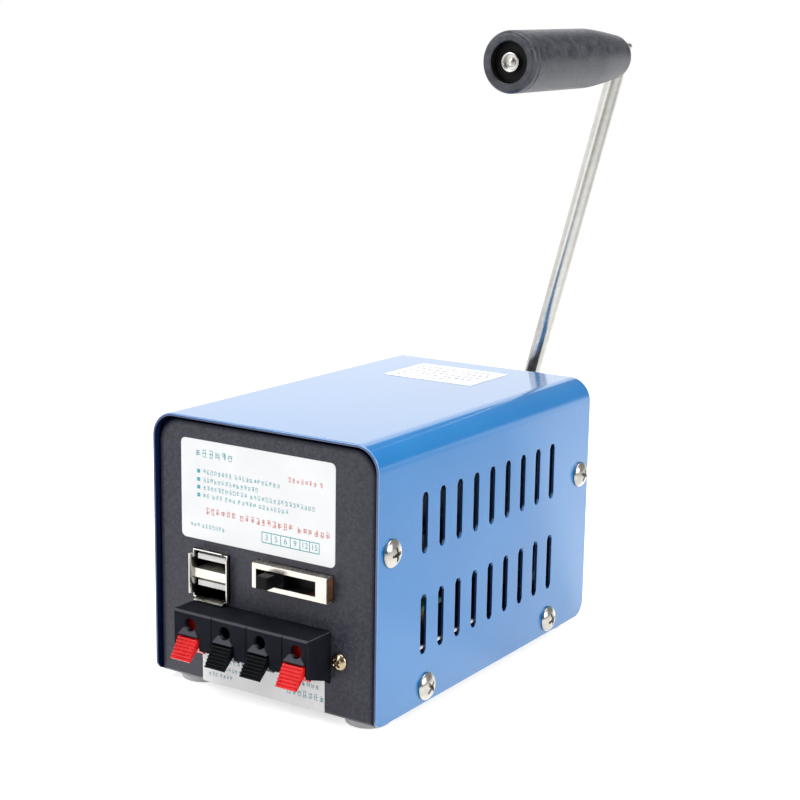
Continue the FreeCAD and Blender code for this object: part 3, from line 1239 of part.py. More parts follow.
def generator_brushes():
    """Carbon brushes each side of the commutator, carried by the end cap."""
    wide, high = BRUSH
    y0 = CAN_FRONT + END_CAP_THICKNESS - END_CAP_RIM
    near = COMMUTATOR_DIAMETER / 2 + 0.1
    blocks = []
    for side in (-1, 1):
        x = sorted((ROTOR_X + side * near, ROTOR_X + side * (near + high)))
        blocks.append(box(x[0], x[1], y0, y0 + wide, ROTOR_Z - wide / 2, ROTOR_Z + wide / 2))
    return group(blocks)


def rotor_shaft():
    """Generator shaft from the end cap to the pinion."""
    return along_y(ROTOR_X, ROTOR_Z, CAN_FRONT - END_CAP_RIM - 1, WHEEL_Y + WHEEL_FACE + 1, ROTOR_SHAFT)


def rotor_core():
    """Slotted armature core with five webs and shoes."""
    outer = CORE_DIAMETER / 2
    under = outer - POLE_SHOE
    hub = CORE_HUB / 2
    edge = math.pi / CORE_POLES - math.asin(CORE_SLOT / 2 / outer)
    reach = CORE_WEB / 2
    pole = [(hub, -math.asin(reach / hub)), (under, -math.asin(reach / under)),
            (under, -edge), (outer, -edge),
            (outer, -edge / 3), (outer, edge / 3), (outer, edge), (under, edge),
            (under, math.asin(reach / under)), (hub, math.asin(reach / hub))]
    points = []
    for i in range(CORE_POLES):
        turn = 2 * math.pi * i / CORE_POLES
        points += [V(ROTOR_X + r * math.cos(turn + a), CORE_FRONT, ROTOR_Z + r * math.sin(turn + a))
                   for r, a in pole]
    core = prism(points, Y_AXIS * CORE_LENGTH)
    return core.cut(shank_hole(ROTOR_SHAFT, V(ROTOR_X, CORE_FRONT, ROTOR_Z), Y_AXIS * CORE_LENGTH))


def rotor_windings():
    """Varnished copper ends of the armature coils, one crown at each end of the core."""
    crowns = []
    for y, out in ((CORE_FRONT, -1), (CORE_BACK, 1)):
        place = V(ROTOR_X, y, ROTOR_Z)
        run = Y_AXIS * out * WINDING_REACH
        crown = drum(CORE_DIAMETER - 2 * POLE_SHOE, place, run)
        crowns.append(crown.cut(drum(ROTOR_SHAFT + 2 * WINDING_GAP, place, run)))
    return group(crowns)


def commutator():
    """Copper commutator between the windings and the end cap."""
    place = V(ROTOR_X, CAN_FRONT + END_CAP_THICKNESS - END_CAP_RIM + COMMUTATOR_GAP, ROTOR_Z)
    run = Y_AXIS * COMMUTATOR_LENGTH
    return drum(COMMUTATOR_DIAMETER, place, run).cut(shank_hole(ROTOR_SHAFT, place, run))


# ---------------------------------------------------------------- crank
def crank_arm():
    """Straight round rod from the hub to the grip, with two flats at its upper end."""
    foot = ARM_START - ARM_DIRECTION * (HUB_DIAMETER / 2 - 1)
    head = ARM_START + ARM_DIRECTION * (CRANK_REACH + ARM_END_REACH)
    arm = rod(ARM_DIAMETER, foot, head)
    arm = arm.makeChamfer(ARM_EDGE, [e for e in arm.Edges if e.BoundBox.ZMin > GRIP_CROSSING.z])
    width = ARM_ACROSS * (2 * ARM_DIAMETER)
    length = ARM_DIRECTION * ARM_FLAT_LENGTH
    for side in (-1, 1):
        corner = head + ARM_DIRECTION - width * 0.5 + GRIP_AXIS * (side * ARM_FLAT / 2)
        outline = [corner, corner + width, corner + width - length, corner - length]
        arm = arm.cut(prism(outline, GRIP_AXIS * (side * ARM_DIAMETER)))
    run = GRIP_AXIS * (2 * ARM_DIAMETER)
    arm = arm.cut(shank_hole(GRIP_PIN_STUD + 2 * THREAD_GAP, GRIP_CROSSING - run * 0.5, run))
    return arm.cut(drum(GRIP_NUT + 2 * THREAD_GAP, grip_nut_seat(), run))


def crank_hub():
    """Turned steel hub: blind bore for the shaft, cross bore for the rod, two tapped holes."""
    r = HUB_DIAMETER / 2
    profile = [(0, 0), (0, r), (HUB_LENGTH - HUB_EDGE, r), (HUB_LENGTH, r - HUB_EDGE), (HUB_LENGTH, 0)]
    hub = turned(profile, V(0, HUB_FRONT, SHAFT_Z), Y_AXIS)
    shaft_end = ARM_Y - ARM_DIAMETER / 2 - SHAFT_TIP_GAP
    hub = hub.cut(along_y(0, SHAFT_Z, HUB_FRONT - 1, shaft_end, CRANK_SHAFT))
    foot = ARM_START - ARM_DIRECTION * HUB_DIAMETER
    hub = hub.cut(rod(ARM_DIAMETER, foot, foot + ARM_DIRECTION * (2 * HUB_DIAMETER)))
    for seat, axis in hub_screw_seats():
        hub = hub.cut(shank_hole(SET_SCREW + 2 * THREAD_GAP, seat, axis * HUB_DIAMETER))
    return hub


def hub_screw_seats():
    """Where the set screws press: on the rod from behind and on the shaft from the side."""
    on_rod = ARM_START + GRIP_AXIS * (ARM_DIAMETER / 2)
    on_shaft = V(0, HUB_FRONT + SET_SCREW, SHAFT_Z) + ARM_ACROSS * (CRANK_SHAFT / 2)
    return [(on_rod, GRIP_AXIS), (on_shaft, ARM_ACROSS)]


def hub_set_screws():
    """Two socket set screws."""
    screws = []
    for seat, axis in hub_screw_seats():
        top = seat + axis * SET_SCREW_LENGTH
        socket = hexagon(HEX_SOCKET, top, axis * -HEX_SOCKET_DEPTH)
        screws.append(shank(SET_SCREW, seat, axis * SET_SCREW_LENGTH).cut(socket))
    return group(screws)


def grip():
    """Turned plastic grip: straight barrel, tapered rear end, recess for the pin's head."""
    r = GRIP_DIAMETER / 2
    tip = GRIP_TIP_DIAMETER / 2
    bore = GRIP_PIN / 2 + GRIP_BORE_GAP
    profile = [(GRIP_RECESS_DEPTH, bore), (GRIP_RECESS_DEPTH, GRIP_RECESS / 2), (0, GRIP_RECESS / 2)]
    for angle in (0, math.pi / 4, math.pi / 2):
        profile.append((GRIP_ROUND * (1 - math.cos(angle)), r - GRIP_ROUND * (1 - math.sin(angle))))
    start = GRIP_LENGTH - GRIP_TAPER
    length = GRIP_TAPER - GRIP_TIP_ROUND
    for step in range(GRIP_TAPER_STEPS + 1):
        share = step / GRIP_TAPER_STEPS
        swell = (r - tip) * (1 - math.cos(share * math.pi)) / 2
        profile.append((start + share * length, r - swell))
    for step in range(1, GRIP_TIP_STEPS + 1):
        angle = step / GRIP_TIP_STEPS * math.pi / 2
        along = start + length + GRIP_TIP_ROUND * math.sin(angle)
        profile.append((along, tip - GRIP_TIP_ROUND * (1 - math.cos(angle))))
    profile.append((GRIP_LENGTH, bore))
    return turned(profile, on_grip_axis(GRIP_MOUTH), GRIP_AXIS)


def on_grip_axis(place):
    """Point of the grip's axis this far behind the rod's axis."""
    return GRIP_CROSSING + GRIP_AXIS * place


def grip_pin():
    """Shouldered pin on which the grip turns, with a dimpled head and a stud for the nut."""
    seat = GRIP_MOUTH + GRIP_RECESS_DEPTH - GRIP_PLAY
    head_start = on_grip_axis(seat - GRIP_PIN_HEAD_LENGTH)
    head = rod(GRIP_PIN_HEAD, head_start, on_grip_axis(seat))
    journal = rod(GRIP_PIN, on_grip_axis(seat), on_grip_axis(PIN_SHOULDER))
    stud = shank(GRIP_PIN_STUD, on_grip_axis(PIN_SHOULDER), GRIP_AXIS * ARM_FLAT)
    dimple = drum(GRIP_PIN_DIMPLE, head_start, GRIP_AXIS * GRIP_PIN_DIMPLE_DEPTH)
    return union([head, journal, stud]).cut(dimple)


def grip_spacer():
    """Washer tube between the grip and the rod's flat."""
    start = on_grip_axis(PIN_SHOULDER - GRIP_SPACER_LENGTH)
    run = GRIP_AXIS * GRIP_SPACER_LENGTH
    return rod(GRIP_SPACER, start, start + run).cut(shank_hole(GRIP_PIN, start, run))


def grip_nut_seat():
    """Middle of the counterbore's floor in the rod's rear flat."""
    return on_grip_axis(ARM_FLAT / 2 - GRIP_NUT_HEIGHT)


def grip_nut():
    """Round slotted nut, flush in the back of the rod."""
    run = GRIP_AXIS * GRIP_NUT_HEIGHT
    body = drum(GRIP_NUT, grip_nut_seat(), run)
    width, depth = GRIP_NUT_SLOT
    corner = on_grip_axis(ARM_FLAT / 2 - depth) - ARM_DIRECTION * GRIP_NUT - ARM_ACROSS * (width / 2)
    outline = [corner, corner + ARM_DIRECTION * (2 * GRIP_NUT),
               corner + ARM_DIRECTION * (2 * GRIP_NUT) + ARM_ACROSS * width, corner + ARM_ACROSS * width]
    bore = shank_hole(GRIP_PIN_STUD + 2 * THREAD_GAP, grip_nut_seat(), run)
    return body.cut(bore).cut(prism(outline, run))


# ---------------------------------------------------------------- all pieces
PIECES = [
    chassis, cover, cover_screws, rubber_feet,
    usb_shell, usb_divider, usb_insulator, usb_contacts,
    switch_frame, switch_base, switch_slider, switch_pins, selector_board,
    terminal_housing, terminal_contacts, terminal_screws,
    circuit_board, board_standoffs, inner_screws, capacitors, choke_core, choke_winding, rectifier,
    heat_sink, regulator,
    rear_gear_plate, front_gear_plate, gearbox_pillars, gearbox_screws, crank_bushes,
    crank_shaft, drive_gear, drive_gear_pin, layshaft, compound_gear,
    generator_can, generator_magnets, generator_end_cap, generator_brushes,
    rotor_shaft, rotor_core, rotor_windings, commutator, rotor_pinion,
    crank_hub, hub_set_screws, crank_arm, grip, grip_pin, grip_spacer, grip_nut,
]

os.makedirs("parts", exist_ok=True)
for piece in PIECES:
    piece().exportStep("parts/" + piece.__name__ + ".step")
for number, place_x in enumerate(WIRE_XS, start=1):
    terminal_lever(place_x).exportStep("parts/terminal_lever_" + str(number) + ".step")
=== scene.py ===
import math
import random

import bmesh
import bpy
import numpy as np
from mathutils import Matrix, Vector


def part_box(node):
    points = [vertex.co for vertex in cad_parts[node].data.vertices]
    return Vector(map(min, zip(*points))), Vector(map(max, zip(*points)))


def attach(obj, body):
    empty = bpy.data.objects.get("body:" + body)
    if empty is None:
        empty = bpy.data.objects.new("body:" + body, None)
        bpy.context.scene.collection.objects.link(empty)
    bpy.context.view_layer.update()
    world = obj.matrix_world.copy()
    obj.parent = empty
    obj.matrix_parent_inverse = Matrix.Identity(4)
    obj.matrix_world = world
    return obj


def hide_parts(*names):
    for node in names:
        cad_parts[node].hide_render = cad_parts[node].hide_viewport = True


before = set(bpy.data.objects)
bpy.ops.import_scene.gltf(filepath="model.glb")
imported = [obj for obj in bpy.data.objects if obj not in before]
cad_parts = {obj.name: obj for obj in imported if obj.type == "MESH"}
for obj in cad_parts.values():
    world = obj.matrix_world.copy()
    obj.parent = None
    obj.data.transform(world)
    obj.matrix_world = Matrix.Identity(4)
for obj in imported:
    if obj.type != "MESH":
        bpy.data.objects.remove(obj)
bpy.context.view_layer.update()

MM = 0.001


# ------------------------------------------------------------------ chassis
# Floor and both end panels, folded from one steel sheet. Powder coated charcoal with a fine dry
# grain. Shade is painted into the coat towards the joint with the cover, where its sheen is
# taken out too, and the sheared top edge of the floor's side flanges is bare where the lower
# slots show it.
def add(tree, kind, inputs=None, **settings):
    """New shader node with its settings, and its inputs set to values or linked to sockets."""
    node = tree.nodes.new("ShaderNode" + kind)
    for name, value in settings.items():
        setattr(node, name, value)
    for name, value in (inputs or {}).items():
        if isinstance(value, bpy.types.NodeSocket):
            tree.links.new(value, node.inputs[name])
        else:
            node.inputs[name].default_value = value
    return node


def calc(tree, operation, *values):
    """Result of one math node on values or sockets."""
    return add(tree, "Math", dict(enumerate(values)), operation=operation).outputs["Value"]


def vector_calc(tree, operation, *values, result="Vector"):
    """Result of one vector math node on values or sockets."""
    return add(tree, "VectorMath", dict(enumerate(values)), operation=operation).outputs[result]


def ramp(tree, source, low, high, start=0.0, end=1.0, course="LINEAR"):
    """A value that runs from start to end while its source runs from low to high."""
    stations = {"Value": source, "From Min": low, "From Max": high, "To Min": start, "To Max": end}
    return add(tree, "MapRange", stations, interpolation_type=course).outputs["Result"]


def split(tree, vector):
    """The X, Y and Z sockets of a vector socket."""
    return add(tree, "SeparateXYZ", {"Vector": vector}).outputs


def tint(tree, factor, colour):
    """Lay a colour over what the material's colour is so far, by a factor."""
    base = tree.nodes["Principled BSDF"].inputs["Base Color"]
    layers = {"Factor": factor, "A": base.links[0].from_socket, "B": (*colour, 1)}
    tree.links.new(add(tree, "Mix", layers, data_type="RGBA").outputs["Result"], base)


def grain_group():
    """Node group: noise on object coordinates at a fine and a broad scale, after a stretch."""
    group = bpy.data.node_groups.new("Grain", "ShaderNodeTree")
    group.interface.new_socket("Stretch", in_out="INPUT", socket_type="NodeSocketVector")
    for name, way in (("Fine", "INPUT"), ("Broad", "INPUT"), ("Height", "OUTPUT"), ("Blotch", "OUTPUT")):
        group.interface.new_socket(name, in_out=way, socket_type="NodeSocketFloat")
    source = group.nodes.new("NodeGroupInput").outputs
    result = group.nodes.new("NodeGroupOutput").inputs
    place = vector_calc(group, "MULTIPLY", add(group, "TexCoord").outputs["Object"], source["Stretch"])
    for scale, output, detail in (("Fine", "Height", 3), ("Broad", "Blotch", 4)):
        noise = add(group, "TexNoise", {"Vector": place, "Scale": source[scale], "Detail": detail})
        group.links.new(noise.outputs["Fac"], result[output])
    return group


grain = grain_group()
COLOUR_SPAN = (0.35, 0.65)    # of the broad noise, between the dark and the light colour
ROUGH_SPAN = (0.3, 0.7)       # of the broad noise, between the two roughnesses
PEAK_SPAN = (0.62, 0.75)      # of the fine noise, where its peaks are
PEAK_COLOUR = (0.5, 0.5, 0.55)
COAT_ROUGHNESS = 0.06


def finish(name, dark, light, rough, metallic=0.0, coat=0.0, fine=1500, broad=40, depth=0.01,
           stretch=(1, 1, 1), speck=0.0, shine=0.5):
    """Material: colour and roughness run over the broad blotches, the fine grain makes a bump of
    the given depth in millimetres, and speck lightens the grain's peaks."""
    material = bpy.data.materials.new(name)
    material.use_nodes = True
    tree = material.node_tree
    shader = tree.nodes["Principled BSDF"].inputs
    texture = add(tree, "Group", {"Stretch": stretch, "Fine": fine, "Broad": broad}, node_tree=grain).outputs
    layers = {"Factor": ramp(tree, texture["Blotch"], *COLOUR_SPAN), "A": (*dark, 1), "B": (*light, 1)}
    tree.links.new(add(tree, "Mix", layers, data_type="RGBA").outputs["Result"], shader["Base Color"])
    if speck:
        tint(tree, ramp(tree, texture["Height"], *PEAK_SPAN, end=speck), PEAK_COLOUR)
    tree.links.new(ramp(tree, texture["Blotch"], *ROUGH_SPAN, *rough), shader["Roughness"])
    shader["Metallic"].default_value = metallic
    shader["Specular IOR Level"].default_value = shine
    shader["Coat Weight"].default_value = coat
    shader["Coat Roughness"].default_value = COAT_ROUGHNESS
    bump = add(tree, "Bump", {"Height": texture["Height"], "Distance": depth * MM})
    tree.links.new(bump.outputs["Normal"], shader["Normal"])
    return material


WELD_DISTANCE = 0.002
SHARP_ANGLE = 32              # degrees, from which an edge is eased


def dress(names, material, edge=0.0, clamp=False):
    """Give CAD nodes their material, and ease their edges by a small bevel in millimetres."""
    for name in names:
        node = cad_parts[name]
        node.data.materials.clear()
        node.data.materials.append(material)
        node.data.polygons.foreach_set("use_smooth", [True] * len(node.data.polygons))
        weld = node.modifiers.new("Weld", "WELD")
        weld.merge_threshold = WELD_DISTANCE * MM
        if edge:
            bevel = node.modifiers.new("Eased edges", "BEVEL")
            bevel.width = edge * MM
            bevel.segments = 2
            bevel.limit_method = "ANGLE"
            bevel.angle_limit = math.radians(SHARP_ANGLE)
            bevel.use_clamp_overlap = clamp
            bevel.harden_normals = True
        normals = node.modifiers.new("Flat faces", "WEIGHTED_NORMAL")
        normals.keep_sharp = True


chassis_low, chassis_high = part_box("chassis")
panel_y = chassis_low[1]
sill_z = chassis_low[2]
POWDER_SHINE = 0.4
PANEL_CORNER = 9.0            # radius of the panels' upper corners
JOINT_SHADE_FULL = 0.6              # painted shade darkens the coat towards the joint with the cover, from here
JOINT_SHADE_CLEAR = 2.4             # to here, both counted from the panels' outline
JOINT_SHADE_COLOUR = (0.001, 0.003, 0.010)
BARE_RISE = 17.8              # middle of the bare band, above the chassis' foot
BARE_HALF = 0.5               # and half its height
BARE_MIDDLE = -33.0           # middle of the bare band along the case
BARE_REACH = 26.0             # and half its length
BARE_STEEL = (0.85, 0.86, 0.88)
powder_coat = finish("Charcoal powder coat", (0.016, 0.016, 0.027), (0.041, 0.041, 0.059), (0.40, 0.56),
                     fine=2600, broad=1000, depth=0.06, speck=0.12, shine=POWDER_SHINE)
tree = powder_coat.node_tree
place = split(tree, add(tree, "TexCoord").outputs["Object"])
past_corner = {}
for axis, high in (("X", chassis_high[0]), ("Z", chassis_high[2])):
    past = calc(tree, "SUBTRACT", calc(tree, "ABSOLUTE", place[axis]), high - PANEL_CORNER * MM)
    past_corner[axis] = calc(tree, "MAXIMUM", past, 0.0)
corner_way = add(tree, "CombineXYZ", past_corner).outputs["Vector"]
joint_shade = ramp(tree, vector_calc(tree, "LENGTH", corner_way, result="Value"),
             (PANEL_CORNER - JOINT_SHADE_CLEAR) * MM, (PANEL_CORNER - JOINT_SHADE_FULL) * MM)
# Painted shade along the joint with the cover, with the sheen taken out in it.
tint(tree, joint_shade, JOINT_SHADE_COLOUR)
tree.links.new(ramp(tree, joint_shade, 0.0, 1.0, POWDER_SHINE, 0.0),
               tree.nodes["Principled BSDF"].inputs["Specular IOR Level"])
bare_height = calc(tree, "COMPARE", place["Z"], sill_z + BARE_RISE * MM, BARE_HALF * MM)
bare_length = calc(tree, "COMPARE", place["Y"], BARE_MIDDLE * MM, BARE_REACH * MM)
tint(tree, calc(tree, "MULTIPLY", bare_length, bare_height), BARE_STEEL)
dress(["chassis"], powder_coat, edge=0.25, clamp=True)

# ------------------------------------------------------------------ cover
# Top and both sides, folded from one sheet, with two rows of slots in each side. Gloss enamel.
# The eased edges have a painted highlight in a lighter blue; the cut rims, the slot walls and the
# inside have painted shade in navy, and the inside has no gloss coat.
INWARD = -0.002               # metres, below which a face looks at the case's middle line
RIM_STEEPNESS = 0.96          # share of a face's normal along the case, on the rims
EDGE_STEEPNESS = 0.3          # and on the eased edges beside them
EDGE_HIGHLIGHT_BLUE = (0.15, 0.30, 0.60)
RIM_SHADE_NAVY = (0.010, 0.050, 0.170)
INSIDE_SHADE_NAVY = (0.006, 0.014, 0.060)


def inside_mask_group(middle):
    """Node group: Inside is 1 on faces that look at the case's middle line, Rim on faces that look
    along it, and Edge on those and on the eased edges between them and the outside."""
    group = bpy.data.node_groups.new("Inside and rims", "ShaderNodeTree")
    normal = add(group, "NewGeometry").outputs["True Normal"]
    outward = vector_calc(group, "SUBTRACT", add(group, "TexCoord").outputs["Object"], middle)
    across = vector_calc(group, "MULTIPLY", outward, (1, 0, 1))
    facing = vector_calc(group, "DOT_PRODUCT", across, normal, result="Value")
    steepness = calc(group, "ABSOLUTE", split(group, normal)["Y"])
    masks = {"Inside": calc(group, "LESS_THAN", facing, INWARD),
             "Rim": calc(group, "GREATER_THAN", steepness, RIM_STEEPNESS),
             "Edge": calc(group, "GREATER_THAN", steepness, EDGE_STEEPNESS)}
    for name in masks:
        group.interface.new_socket(name, in_out="OUTPUT", socket_type="NodeSocketFloat")
    result = group.nodes.new("NodeGroupOutput").inputs
    for name, mask in masks.items():
        group.links.new(mask, result[name])
    return group


cover_low, cover_high = (Vector(corner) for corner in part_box("cover"))
enamel = finish("Blue enamel", (0.004, 0.176, 0.485), (0.007, 0.196, 0.520), (0.12, 0.20), coat=1.0,
                fine=700, broad=25, depth=0.004, shine=0.3)
tree = enamel.node_tree
highlight_and_shade_masks = add(tree, "Group", node_tree=inside_mask_group((cover_low + cover_high) / 2)).outputs
# Painted highlight in a lighter blue on the eased edges, then painted shade in navy on the cut rims, the slot
# walls and the inside.
for output, colour in (("Edge", EDGE_HIGHLIGHT_BLUE), ("Rim", RIM_SHADE_NAVY), ("Inside", INSIDE_SHADE_NAVY)):
    tint(tree, highlight_and_shade_masks[output], colour)
# The inside's painted shade also takes away its gloss coat.
coated = calc(tree, "SUBTRACT", 1.0, highlight_and_shade_masks["Inside"])
tree.links.new(coated, tree.nodes["Principled BSDF"].inputs["Coat Weight"])
dress(["cover"], enamel, edge=0.14)


# ------------------------------------------------------------------ cover screws
# Eight nickel plated truss head machine screws with a cross recess, four in each side.
def mesh_piece(name, vertices, faces, material, body, slot, smooth=40):
    """Object from arrays of vertices and faces: merged, outward, smooth under the given angle."""
    mesh = bpy.data.meshes.new(name)
    mesh.from_pydata(np.asarray(vertices).tolist(), [], [list(face) for face in faces])
    shell = bmesh.new()
    shell.from_mesh(mesh)
    bmesh.ops.remove_doubles(shell, verts=shell.verts, dist=1e-7)
    bmesh.ops.recalc_face_normals(shell, faces=shell.faces)
    for face in shell.faces:
        face.smooth = True
    for edge in shell.edges:
        if len(edge.link_faces) == 2:
            edge.smooth = edge.calc_face_angle(0) < math.radians(smooth)
    shell.to_mesh(mesh)
    shell.free()
    mesh.materials.append(material)
    piece = bpy.data.objects.new(name, mesh)
    bpy.context.scene.collection.objects.link(piece)
    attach(piece, body)
    return piece


def grid_faces(rows, columns):
    """Quads of a grid of rows whose columns close into rings."""
    i, j = np.meshgrid(np.arange(rows - 1), np.arange(columns), indexing="ij")
    k = (j + 1) % columns
    quads = np.stack([i * columns + j, i * columns + k, (i + 1) * columns + k, (i + 1) * columns + j], -1)
    return quads.reshape(-1, 4)


def turned(stations, radii, place, axis, columns=96, cross=None):
    """Surface of revolution: point = place + axis s + radius (u cos t + v sin t). The profile starts
    and ends on the axis. cross(x, y, s) may sink the surface along the axis."""
    axis = Vector(axis).normalized()
    u = axis.orthogonal().normalized()
    v = axis.cross(u)
    angle = np.linspace(0, 2 * np.pi, columns, endpoint=False)
    r = np.asarray(radii, float)[:, None]
    s = np.asarray(stations, float)[:, None] * np.ones(columns)
    x = r * np.cos(angle)
    y = r * np.sin(angle)
    if cross is not None:
        s = s - cross(x, y, s)
    points = (np.array(place) + s[..., None] * np.array(axis) + x[..., None] * np.array(u)
              + y[..., None] * np.array(v))
    return points.reshape(-1, 3), grid_faces(len(radii), columns)


def joined(parts):
    """Several vertex and face arrays as one."""
    vertices = []
    faces = []
    count = 0
    for points, quads in parts:
        vertices.append(points)
        faces.append(np.asarray(quads) + count)
        count += len(points)
    return np.concatenate(vertices), np.concatenate(faces)


def smooth_step(value):
    """Smooth ramp from 0 to 1."""
    value = np.clip(value, 0, 1)
    return value * value * (3 - 2 * value)


DOME_SPREAD = 0.92            # how far the head's arc runs towards a full quarter of an ellipse
WALL_SHARE = 0.25             # of the head's height, under the arc
WALL_FOOT = 0.1               # of the head's height, where the wall starts to draw in
FOOT_SHARE = 0.96             # of the head's radius, at its foot
ARM_HALF = 0.42               # half the width of a recess arm at its end
ARM_SPREAD = 0.10             # what an arm gains in half width for each millimetre inwards
ARM_WALL = 0.16               # width of an arm's sloping wall
ARM_END = 0.5                 # length of the slope at an arm's end
RECESS_SHARE = 0.62           # depth of the recess as a share of the head's height
RECESS_LOW = 0.2              # of the head's height, below which no recess is cut


def cross_screw(place, axis, head, dome, arm, turn=0.5):
    """Domed screw head with a cross recess; sizes in millimetres, place under the head."""
    radius = head / 2
    share = np.linspace(0, 1, 44)
    lift = dome * np.sqrt(np.clip(1 - (DOME_SPREAD * share) ** 2, 0, 1))
    lift = (lift - lift[-1]) * (1 - WALL_SHARE) / (1 - lift[-1] / dome) + dome * WALL_SHARE
    stations = np.concatenate([lift, [dome * WALL_FOOT, 0, 0]])
    radii = np.concatenate([share * radius, [radius, radius * FOOT_SHARE, 0]])

    def cross(x, y, s):
        a = x * np.cos(turn) + y * np.sin(turn)
        b = -x * np.sin(turn) + y * np.cos(turn)
        wide = np.minimum(np.abs(a), np.abs(b)) / MM
        far = np.hypot(x, y) / MM
        side = smooth_step((ARM_HALF + ARM_SPREAD * (arm - far) - wide) / ARM_WALL)
        end = smooth_step((arm - far) / ARM_END)
        return side * end * np.where(s > RECESS_LOW * dome * MM, dome * RECESS_SHARE * MM, 0)

    return turned(stations * MM, radii * MM, place, axis, columns=120, cross=cross)


nickel = finish("Nickel plate", (0.52, 0.50, 0.46), (0.66, 0.64, 0.59), (0.14, 0.30), metallic=1.0,
                fine=3000, broad=300, depth=0.006)
UPPER_SCREW = (6.7, 52.2)     # inset from the cover's ends and rise above its foot
LOWER_SCREW = (26.5, 5.5)
COVER_HEAD = 8.6
COVER_DOME = 2.4
COVER_ARM = 2.3
heads = []
for side, wall_x in ((-1, cover_low.x), (1, cover_high.x)):
    for number, (inset, rise) in enumerate((UPPER_SCREW, LOWER_SCREW)):
        for end, y in enumerate((cover_low.y + inset * MM, cover_high.y - inset * MM)):
            place = (wall_x, y, cover_low.z + rise * MM)
            twist = 0.5 + 0.7 * number + 1.1 * end + 0.4 * side
            heads.append(cross_screw(place, (side, 0, 0), COVER_HEAD, COVER_DOME, COVER_ARM, twist))
cover_heads = mesh_piece("cover_screw_heads", *joined(heads), nickel, "casing", "nickel_screws")
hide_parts("cover_screws")


# ------------------------------------------------------------------ feet
# Four moulded rubber feet, stuck on, slightly narrower at the foot and rounded at the rim.
# The rubber's grey is painted lighter than the dark rubber: painted light on the feet in the case's shade.
rubber_painted_light = finish("Rubber lightened with painted light", (0.54, 0.54, 0.56), (0.64, 0.64, 0.65), (0.45, 0.6), fine=2500, broad=150,
                depth=0.02)
feet_low, feet_high = (Vector(corner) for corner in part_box("rubber_feet"))
FOOT_RADIUS = 7.5
FOOT_HEIGHT = 3.0
FOOT_TAPER = 0.5
FOOT_ROUND = 0.6
bend = np.linspace(0, np.pi / 2, 7)
foot_rim = FOOT_RADIUS - FOOT_TAPER - FOOT_ROUND * (1 - np.cos(bend))
foot_radii = np.concatenate([[0, FOOT_RADIUS], foot_rim, [0]])
foot_drop = np.concatenate([[0, 0], FOOT_HEIGHT - FOOT_ROUND * (1 - np.sin(bend)), [FOOT_HEIGHT]])
feet = [turned(foot_drop * MM, foot_radii * MM, (x, y, feet_high.z), (0, 0, -1), columns=64)
        for x in (feet_low.x + FOOT_RADIUS * MM, feet_high.x - FOOT_RADIUS * MM)
        for y in (feet_low.y + FOOT_RADIUS * MM, feet_high.y - FOOT_RADIUS * MM)]
rubber_feet = mesh_piece("feet", *joined(feet), rubber_painted_light, "casing", "foot_rubber")
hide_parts("rubber_feet")

# ------------------------------------------------------------------ boards inside
# Green regulator board and selector board, with the parts that they carry: soldered capacitors, a
# wound choke, and epoxy bodies on an aluminium heat sink. Seen through the slots.
solder_mask = finish("Green solder mask", (0.010, 0.085, 0.035), (0.016, 0.120, 0.050), (0.3, 0.42), coat=0.3,
                     fine=900, broad=180, depth=0.01)
dress(["circuit_board", "selector_board"], solder_mask, edge=0.1)
sleeve = finish("Dark shrink sleeve", (0.012, 0.016, 0.05), (0.02, 0.026, 0.075), (0.3, 0.4), fine=900,
                depth=0.01)
dress(["capacitors"], sleeve, edge=0.4)
ferrite = finish("Ferrite", (0.03, 0.03, 0.032), (0.05, 0.05, 0.052), (0.55, 0.7), fine=2500, depth=0.03)
dress(["choke_core"], ferrite, edge=0.4)
copper = finish("Enamelled copper", (0.42, 0.15, 0.06), (0.52, 0.21, 0.09), (0.22, 0.35), metallic=1.0,
                fine=2500, depth=0.01)
dress(["choke_winding", "rotor_windings", "commutator"], copper, edge=0.15)
epoxy = finish("Black epoxy", (0.012, 0.012, 0.013), (0.02, 0.02, 0.021), (0.4, 0.55), fine=3000, depth=0.02)
dress(["rectifier", "regulator"], epoxy, edge=0.2)
extruded = finish("Extruded aluminium", (0.42, 0.43, 0.45), (0.52, 0.53, 0.55), (0.3, 0.42), metallic=1.0,
                  fine=900, stretch=(1, 1, 0.05), depth=0.01)
dress(["heat_sink"], extruded, edge=0.15)
brass = finish("Brass", (0.55, 0.38, 0.14), (0.66, 0.47, 0.19), (0.2, 0.32), metallic=1.0, fine=2200,
               depth=0.006)
dress(["board_standoffs", "usb_contacts", "terminal_contacts", "switch_pins"], brass, edge=0.05)
dress(["inner_screws", "gearbox_screws"], nickel, edge=0.2)


# ------------------------------------------------------------------ USB double socket
# Thin tinned steel shell with four flared lips, a folded divider, and white tongues in each port.
# Shade is painted into the ports' colour from a few millimetres behind their mouth.
def shaded(material, axis, start, reach, colour):
    """Paint shade into a material's colour along an object axis, over a reach in millimetres from a
    start in metres."""
    tree = material.node_tree
    place = split(tree, add(tree, "TexCoord").outputs["Object"])
    clear, deep = (start + share * MM for share in reach)
    tint(tree, ramp(tree, place[axis], clear, deep), colour)


SHELL_SHADE = (1.2, 3.0)      # behind the mouth, where the shade starts and where it is full
TONGUE_SHADE = (8.0, 10.0)
tinned = finish("Tinned steel", (0.60, 0.59, 0.55), (0.74, 0.73, 0.69), (0.16, 0.28), metallic=1.0,
                fine=2600, broad=260, depth=0.006)
usb_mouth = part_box("usb_shell")[0][1]
